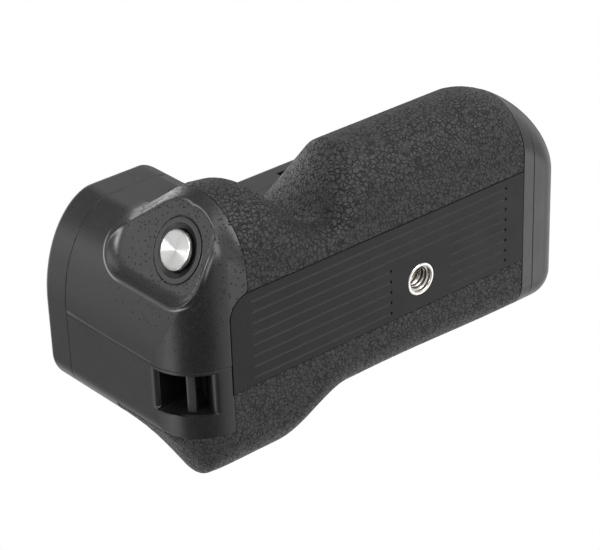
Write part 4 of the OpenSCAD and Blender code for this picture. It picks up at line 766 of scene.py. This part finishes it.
# Top plate
def plan_ring(z, inset):
    """Outline of the plate at a height, set back by inset."""
    turn = np.linspace(0, math.pi / 2, 34)
    left = -SHUTTER_END + GRIP_CORNER * (1 - np.cos(turn))
    right = TRAY_END - TRAY_CORNER * (1 - np.sin(turn[1:]))
    x = np.concatenate([left, np.arange(-59.5, 44.0, 0.8), right])
    mid = (TRAY_END - SHUTTER_END) / 2
    px = mid + (x - mid) * (1 - 2 * inset / (TRAY_END + SHUTTER_END))
    front = np.stack([px, -front_wall(x) + inset, z + 0 * x], axis=1)
    rear = np.stack([px, rear_wall(x) - inset, z + 0 * x], axis=1)
    return lean(np.concatenate([front, rear[::-1]]))


def top_plate():
    wheel_r, wheel_low, wheel_high, window_half = 18.15, 48.8, 53.9, 11.0
    low = SEAM_Z + SEAM_GAP
    turn = np.linspace(0, math.pi / 2, 9)
    levels = [(low, 0.6)]
    levels += [(low + SEAM_R * (1 - math.cos(t)), SEAM_R * (1 - math.sin(t))) for t in turn]
    levels += [(z, 0.0) for z in np.linspace(49.0, 55.0, 5)]
    levels += [(TOP_Z - 1.4 * TOP_EDGE * (1 - math.sin(t)), TOP_EDGE * (1 - math.cos(t))) for t in turn]
    levels += [(TOP_Z, TOP_EDGE + 0.3)]
    plate = loft("top_plate_shell", np.stack([plan_ring(z, i) for z, i in levels]), BODY)
    hollow = [(-54, -23.8), (-45, -23.8), (-25, -9.7), (34.2, -9.7), (34.2, 21.2), (-54, 21.2)]
    rear_half = math.sqrt(18.8 ** 2 - (REAR_Y - 2.5 - MOUNT[1]) ** 2)
    tools = [
        prism_mesh(hollow, 40, 54.6),
        post_mesh(MOUNT, wheel_r, wheel_low, wheel_high, 72),
        box_mesh((MOUNT[0] - rear_half, REAR_Y - 5, wheel_low), (MOUNT[0] + rear_half, REAR_Y + 5, wheel_high)),
        box_mesh((MOUNT[0] - window_half, -17.2, 50.55), (MOUNT[0] + window_half, -9.2, 52.75)),
        post_mesh(MOUNT, 4.1, 50, 60),
        box_mesh((-48.1, 3.6, 53), (-31.9, 10.8, 60)),
        box_mesh((CAM_FROM, CAM_SIDE, 47), (CAM_TO, 12.91, 51.06))]
    tools += [post_mesh(p, 2.1, 55.5, 60, 32) for p in SCREWS]
    return cut(plate, tools, BODY)


place_piece(top_plate(), "casing", "body_plastic", "top_plate")


# Repeated forms come from Geometry Nodes
def new_tree(name, **inputs):
    """Empty geometry tree with named inputs, and its input node."""
    tree = bpy.data.node_groups.new(name, "GeometryNodeTree")
    for label, kind in {"Geometry": "Geometry", **inputs}.items():
        tree.interface.new_socket(label, in_out="INPUT", socket_type="NodeSocket" + kind)
    tree.interface.new_socket("Geometry", in_out="OUTPUT", socket_type="NodeSocketGeometry")
    return tree, add(tree, "NodeGroupInput")


def close_tree(tree, instances, mat):
    """Ends a tree in real, dyed meshes."""
    real = add(tree, "GeometryNodeRealizeInstances", {"Geometry": instances})
    dyed = add(tree, "GeometryNodeSetMaterial", {"Geometry": real, "Material": mat})
    add(tree, "NodeGroupOutput", {"Geometry": dyed})
    return tree


def run_tree(tree, places, **values):
    """Mesh that a tree makes on loose places."""
    mesh = bpy.data.meshes.new("places")
    mesh.from_pydata(places, [], [])
    holder = bpy.data.objects.new("places", mesh)
    bpy.context.scene.collection.objects.link(holder)
    change = holder.modifiers.new("tree", "NODES")
    change.node_group = tree
    for item in tree.interface.items_tree:
        if item.in_out == "INPUT" and item.name in values:
            change[item.identifier] = values[item.name]
    made = evaluated(holder)
    bpy.data.objects.remove(holder)
    return made


def row_tree(mat):
    """Tree that sets bars of a given length and radius in an even row."""
    tree, given = new_tree("row_of_bars", Count="Int", Pitch="Float", Length="Float", Radius="Float", Start="Vector")
    step = add(tree, "ShaderNodeCombineXYZ", {"Y": given.outputs["Pitch"]})
    line = add(tree, "GeometryNodeMeshLine", {"Count": given.outputs["Count"], "Offset": step,
                                              "Start Location": given.outputs["Start"]})
    bar = add(tree, "GeometryNodeMeshCylinder", {"Vertices": 12, "Radius": given.outputs["Radius"],
                                                 "Depth": given.outputs["Length"]})
    flat = add(tree, "GeometryNodeTransform", {"Geometry": bar, "Rotation": (0.0, math.pi / 2, 0.0)})
    many = add(tree, "GeometryNodeInstanceOnPoints", {"Points": line, "Instance": flat})
    return close_tree(tree, many, mat)


def row_of_bars(tree, count, length, radius, start):
    """Points and faces, in millimetres, of a row made by the tree."""
    made = run_tree(tree, [], Count=count, Pitch=GROOVE_PITCH * MM, Length=length * MM, Radius=radius * MM,
                    Start=tuple(c * MM for c in start))
    points = [tuple(c / MM for c in v.co) for v in made.vertices]
    return points, [tuple(p.vertices) for p in made.polygons]


def pad_ring(z, inset):
    """Outline of the base pad with its one round corner."""
    gap = PAD_GAP + inset
    x0, x1, y0, y1 = -REAR_SEAM + gap, FRAME_SEAM - gap, -PAD_FRONT + gap, PAD_REAR - gap
    r = PAD_CORNER - inset
    turn = np.linspace(math.pi, 1.5 * math.pi, 24)
    ring = [(x0 + r + r * math.cos(t), y0 + r + r * math.sin(t), z) for t in turn]
    return ring + [(x1, y0, z), (x1, y1, z), (x0, y1, z)]


def base_pad():
    thickness, edge_r, insert_r, first, short = 1.4, 0.14, 4.6, -PAD_FRONT + 2.6, 3
    turn = np.linspace(0, math.pi / 2, 6)
    levels = [(thickness, 0.0)] + [(edge_r * (1 - math.sin(t)), edge_r * (1 - math.cos(t))) for t in turn]
    levels += [(0.0, 0.5)]
    pad = loft("base_pad_plate", np.array([pad_ring(z, i) for z, i in levels]), PAD)
    tree = row_tree(PAD)
    lower = first + short * GROOVE_PITCH
    tools = [post_mesh((0, 0), insert_r, -1, 3, 64)]
    for count, y, a, b in ((3, first, GROOVE_LEFT, GROOVE_RIGHT), (5, lower, GROOVE_LEFT, -GROOVE_CLEAR),
                           (5, lower, GROOVE_CLEAR, GROOVE_RIGHT)):
        tools.append(row_of_bars(tree, count, b - a, GROOVE_R, ((a + b) / 2, y, GROOVE_Z)))
    for count, y, x in ((5, lower, DOT_X), (8, first, GROOVE_RIGHT)):
        tools.append(row_of_bars(tree, count, DOT_LENGTH, DOT_R, (x, y, 0.0)))
    return cut(pad, tools, PAD, 25.0)


def in_groove(x, y, z):
    """Whether a place lies in a groove of the pad, clear of its edge, the insert and the dots."""
    inner = -PAD_FRONT + 1.0 < y < PAD_REAR - 0.5 and math.hypot(x, y) > 5.0
    return inner and 0.02 < z < 0.3 and min(abs(x - DOT_X), abs(x - GROOVE_RIGHT)) > 0.6


# Groove faces get the paler ABS, a painted highlight
place_piece(paint(base_pad(), GROOVE, in_groove), "casing", "pad_plastic", "base_pad")


# Threaded insert of the tripod socket
def tripod_insert():
    pitch, crest_r, depth, mouth, levels = 1.27, 2.62, 0.52, 1.15, 110
    turn = np.linspace(0, 2 * math.pi, 96, endpoint=False)

    def ring(r, z):
        return np.stack([r * np.cos(turn), r * np.sin(turn), z + 0 * turn], axis=1)
    rings = [ring(r, z) for r, z in (
        (6.5, 3.5), (4.5, 3.5), (4.5, 0.25), (4.43, 0.07), (4.25, 0.0), (3.75, 0.0), (3.6, 0.08), (3.52, 0.2),
        (3.5, 1.0), (3.3, mouth))]
    for z in np.linspace(1.2, 5.5, levels):
        wave = np.abs(((z / pitch - turn / (2 * math.pi)) % 1.0) * 2 - 1)
        start = ease((z - mouth) / 0.3)
        rings.append(ring(crest_r + depth * clamp01(1.7 * wave - 0.35) * start + 0.5 * (1 - start), z))
    rings += [ring(0.4, 5.5), ring(0.4, 6.2), ring(6.5, 5.0)]
    return loft("tripod_insert_thread", np.array(rings), NICKEL, angle=50.0)


def in_root(x, y, z):
    """Whether a place lies in the root of the thread."""
    return 1.25 < z < 5.5 and 2.8 < math.hypot(x, y) < 3.3


# Thread roots get the darker metal, painted shade
place_piece(paint(tripod_insert(), THREAD_ROOT, in_root), "casing", "nickel", "tripod_insert")


# Shutter release
def arc_profile(centre, radius, start, stop, count=6):
    turn = np.radians(np.linspace(start, stop, count))
    return [(centre[0] + radius * math.cos(t), centre[1] + radius * math.sin(t)) for t in turn]


collar = [(5.2, -2.5), (8.0, -2.5)]
collar += arc_profile((7.88, 0.08), 0.12, 0, 90) + arc_profile((6.75, 0.08), 0.12, 90, 150)
collar += [(5.75, -0.42), (5.4, -0.5), (5.22, -0.62), (5.2, -0.8)]
place_piece(lathe("shutter_collar_ring", collar, at_release, COLLAR), "casing", "gloss_black", "shutter_collar")
seat = [(7.9, -1.2), (8.55, -1.2), (8.6, 0.0), (8.55, 0.02), (8.4, 0.02), (8.32, -0.45), (8.12, -0.45),
        (8.06, 0.02), (7.9, 0.02)]
place_piece(lathe("collar_seat_ring", seat, at_release, BODY), "casing", "body_plastic")


def shutter_cap():
    """Dished cap with a map of turns and radii for its lathe marks."""
    profile = [(0.02, 0.12), (4.9, 0.12), (5.0, 0.2)] + arc_profile((4.55, 0.68), 0.45, 0, 80, 9)
    profile += [(r, 1.08 - 0.42 * (1 - r / 4.6) ** 0.9) for r in np.linspace(4.5, 0.02, 26)]
    cap = lathe("shutter_cap_turned", profile, at_release, ALUMINIUM, 128)
    mesh = cap.data
    layer = mesh.uv_layers.new(name="turning")
    for polygon in mesh.polygons:
        spots = []
        for corner in polygon.loop_indices:
            rel = np.array(mesh.vertices[mesh.loops[corner].vertex_index].co) / MM - RELEASE
            u, v = rel @ RELEASE_U, rel @ RELEASE_V
            spots.append((corner, math.atan2(v, u) / (2 * math.pi), math.hypot(u, v) / CAP_R))
        wide = max(s[1] for s in spots)
        for corner, turn, radius in spots:
            layer.data[corner].uv = (turn + 1 if wide - turn > 0.5 else turn, radius)
    return cap


place_piece(shutter_cap(), "release", "spun_aluminium", "shutter_cap")


# Case screws: pan heads with a cross recess
def screw_form():
    long, half = 1.2, 0.22
    profile = [(0.02, 0), (1.95, 0), (2.0, 0.5), (1.85, 0.85), (1.5, 1.0), (0.02, 1.0)]
    head = lathe("screw_form", profile, lambda p: p, STEEL, 40)
    cross = [box_mesh((-a, -b, 0.45), (a, b, 2)) for a, b in ((long, half), (half, long))]
    return cut(head, cross, STEEL, 30.0)


def case_screws():
    form = screw_form()
    tree, given = new_tree("screws_on_points", Screw="Object", Turn="Float")
    which = add(tree, "GeometryNodeInputIndex")
    amount = add(tree, "ShaderNodeMath", {0: which, 1: given.outputs["Turn"]}, operation="MULTIPLY")
    turned = add(tree, "ShaderNodeCombineXYZ", {"Z": amount})
    one = add(tree, "GeometryNodeObjectInfo", {"Object": given.outputs["Screw"]})
    many = add(tree, "GeometryNodeInstanceOnPoints", {"Points": given.outputs["Geometry"],
                                                      "Instance": one.outputs["Geometry"], "Rotation": turned})
    close_tree(tree, many, STEEL)
    made = run_tree(tree, [(x * MM, y * MM, 55.55 * MM) for x, y in SCREWS], Screw=form, Turn=0.7)
    bpy.data.objects.remove(form)
    return settle("case_screw_heads", made, STEEL, 30.0)


place_piece(case_screws(), "casing", "steel", "case_screws")

# Materials of the CAD nodes that stay
STAY = {
    BODY: ("front_shell", "rear_shell"),
    MAT: ("top_mat",),
    CONTROL: ("mount_wheel", "command_dial", "exposure_button", "focus_button", "lock_switch", "latch_knob",
              "shutter_button", "contact_block"),
    STEEL: ("shutter_clip", "shutter_spring", "switch_bracket", "camera_screw", "wheel_retainer", "retainer_screws",
            "guide_pins", "dial_shaft", "dial_bracket", "latch_cam"),
    GOLD: ("contact_pins", "chamber_contacts"),
    BOARD: ("button_board", "main_board"),
    INNER: ("shutter_switch", "lock_slider", "battery_chamber", "battery_tray"),
    CELL: ("battery_front", "battery_rear"),
}
for mat, names in STAY.items():
    for name in names:
        for spot in frame["nodes"][name].material_slots:
            spot.link = "OBJECT"
            spot.material = mat


# Floor, world, light and camera
def sheet(name, middle, across, up, count, mat):
    """Flat stage piece, drawn as a grid between its half axes."""
    steps = np.linspace(-1, 1, count)
    points = [np.array(middle) + a * np.array(across) + b * np.array(up) for a in steps for b in steps]
    faces = [(i * count + j, (i + 1) * count + j, (i + 1) * count + j + 1, i * count + j + 1)
             for i in range(count - 1) for j in range(count - 1)]
    mesh = bpy.data.meshes.new(name)
    mesh.from_pydata((np.array(points) * MM).tolist(), [], faces)
    mesh.materials.append(mat)
    made = bpy.data.objects.new(name, mesh)
    bpy.context.scene.collection.objects.link(made)
    return made


def floor():
    """Pale floor that is clear from below, where the photo was taken from."""
    reach, low = 900.0, -0.15
    made, tree, shader = material("pale_floor", Base_Color=linear("#f4f4f4"), Roughness=0.7)
    side = add(tree, "ShaderNodeNewGeometry").outputs["Backfacing"]
    mixed = add(tree, "ShaderNodeMixShader", {0: side, 1: shader, 2: add(tree, "ShaderNodeBsdfTransparent")})
    tree.links.new(mixed.outputs["Shader"], tree.nodes["Material Output"].inputs["Surface"])
    plane = sheet("floor", (0, 0, low), (reach, 0, 0), (0, reach, 0), 24, made)
    plane.visible_shadow = plane.visible_diffuse = plane.visible_glossy = plane.visible_transmission = False


def world():
    """White where it is seen or mirrored, and a soft light for the rest."""
    made = bpy.data.worlds.new("studio")
    bpy.context.scene.world = made
    made.use_nodes = True
    tree = made.node_tree
    tree.nodes.clear()
    path = add(tree, "ShaderNodeLightPath").outputs
    seen = add(tree, "ShaderNodeMath", {0: path["Is Camera Ray"], 1: path["Is Glossy Ray"]}, operation="MAXIMUM")
    seen = add(tree, "ShaderNodeMath", {0: seen, 1: path["Is Transmission Ray"]}, operation="MAXIMUM")
    strength = add(tree, "ShaderNodeMapRange", {0: seen, 3: 0.3, 4: 1.0})
    light = add(tree, "ShaderNodeBackground", {"Color": (1.0, 1.0, 1.0, 1.0), "Strength": strength})
    add(tree, "ShaderNodeOutputWorld", {"Surface": light})


def facing(direction):
    """Axes across, up and away of something that faces the object from that side."""
    away = np.array(direction, dtype=float)
    away /= np.linalg.norm(away)
    across = np.cross((0.0, 0.0, 1.0) if abs(away[2]) < 0.95 else (0.0, 1.0, 0.0), away)
    across /= np.linalg.norm(across)
    return across, np.cross(away, across), away


def lamp(name, direction, size, power, distance=560.0):
    """Soft box of that size and power in watts."""
    data = bpy.data.lights.new(name, "AREA")
    data.shape, data.size, data.size_y, data.energy = "RECTANGLE", size[0] * MM, size[1] * MM, power
    made = bpy.data.objects.new(name, data)
    bpy.context.scene.collection.objects.link(made)
    axes = facing(direction)
    turned = Matrix(np.stack(axes, axis=1).tolist()).to_4x4()
    turned.translation = axes[2] * distance * MM
    made.matrix_world = turned


def scrim(name, direction, distance, size, shade):
    """Black net outside the picture that dims what the object mirrors from one side."""
    made, tree, _ = material(name + "_net")
    net = add(tree, "ShaderNodeBsdfTransparent", {"Color": (1 - shade, 1 - shade, 1 - shade, 1.0)})
    tree.links.new(net.outputs["BSDF"], tree.nodes["Material Output"].inputs["Surface"])
    across, up, away = facing(direction)
    middle = away * distance + np.array([-15.0, 0.0, 25.0])
    plane = sheet(name, middle, across * size[0] / 2, up * size[1] / 2, 7, made)
    plane.visible_camera = plane.visible_shadow = plane.visible_diffuse = False


def camera():
    """Camera that was fitted to the photo's lines."""
    data = bpy.data.cameras.new("photo_camera")
    data.sensor_fit, data.sensor_width, data.lens = "HORIZONTAL", 36.0, 132.0
    data.clip_start, data.clip_end = 0.01, 10.0
    made = bpy.data.objects.new("photo_camera", data)
    bpy.context.scene.collection.objects.link(made)
    right = np.array([0.75886, 0.03084, -0.65052])
    down = np.array([-0.33463, 0.87540, -0.34886])
    ahead = np.array([0.55871, 0.48242, 0.67463])
    turned = Matrix(np.stack([right, -down, -ahead], axis=1).tolist()).to_4x4()
    turned.translation = [-334.308 * MM, -270.760 * MM, -355.680 * MM]
    made.matrix_world = turned
    bpy.context.scene.camera = made


floor()
world()
lamp("top_light", (-0.17, -0.96, -0.26), (420, 300), 0.6)
lamp("top_far_light", (-0.3, -0.93, 0.2), (260, 260), 0.3)
lamp("front_light", (0.1, -0.7, -0.7), (420, 420), 2.3)
lamp("right_light", (0.5, -0.85, -0.1), (300, 300), 0.35)
lamp("end_light", (-0.93, -0.36, 0.02), (180, 180), 1.7)
lamp("high_light", (-0.715, -0.19, 0.675), (160, 160), 0.07)
lamp("left_light", (-0.88, 0.46, 0.05), (200, 200), 0.16)
lamp("low_light", (0.69, 0.43, -0.58), (260, 260), 0.3)
lamp("upper_light", (0.0, 0.1, 1.0), (450, 400), 0.8)
lamp("rear_light", (0.2, 0.96, 0.2), (450, 300), 0.3)
scrim("low_scrim", (-0.57, 0.51, -0.65), 420.0, (520, 460), 0.85)
scrim("back_scrim", (-0.3, -0.6, 0.75), 480.0, (480, 420), 0.5)
scrim("side_scrim", (-0.5, 0.52, 0.69), 500.0, (260, 260), 0.58)
scrim("far_scrim", (0.6, 0.4, 0.69), 600.0, (620, 520), 0.7)
scrim("front_scrim", (0.1, -0.9, 0.4), 520.0, (420, 420), 0.45)
scrim("right_scrim", (0.5, -0.5, 0.7), 520.0, (360, 360), 0.25)
camera()
bpy.context.scene.view_settings.view_transform = "Standard"
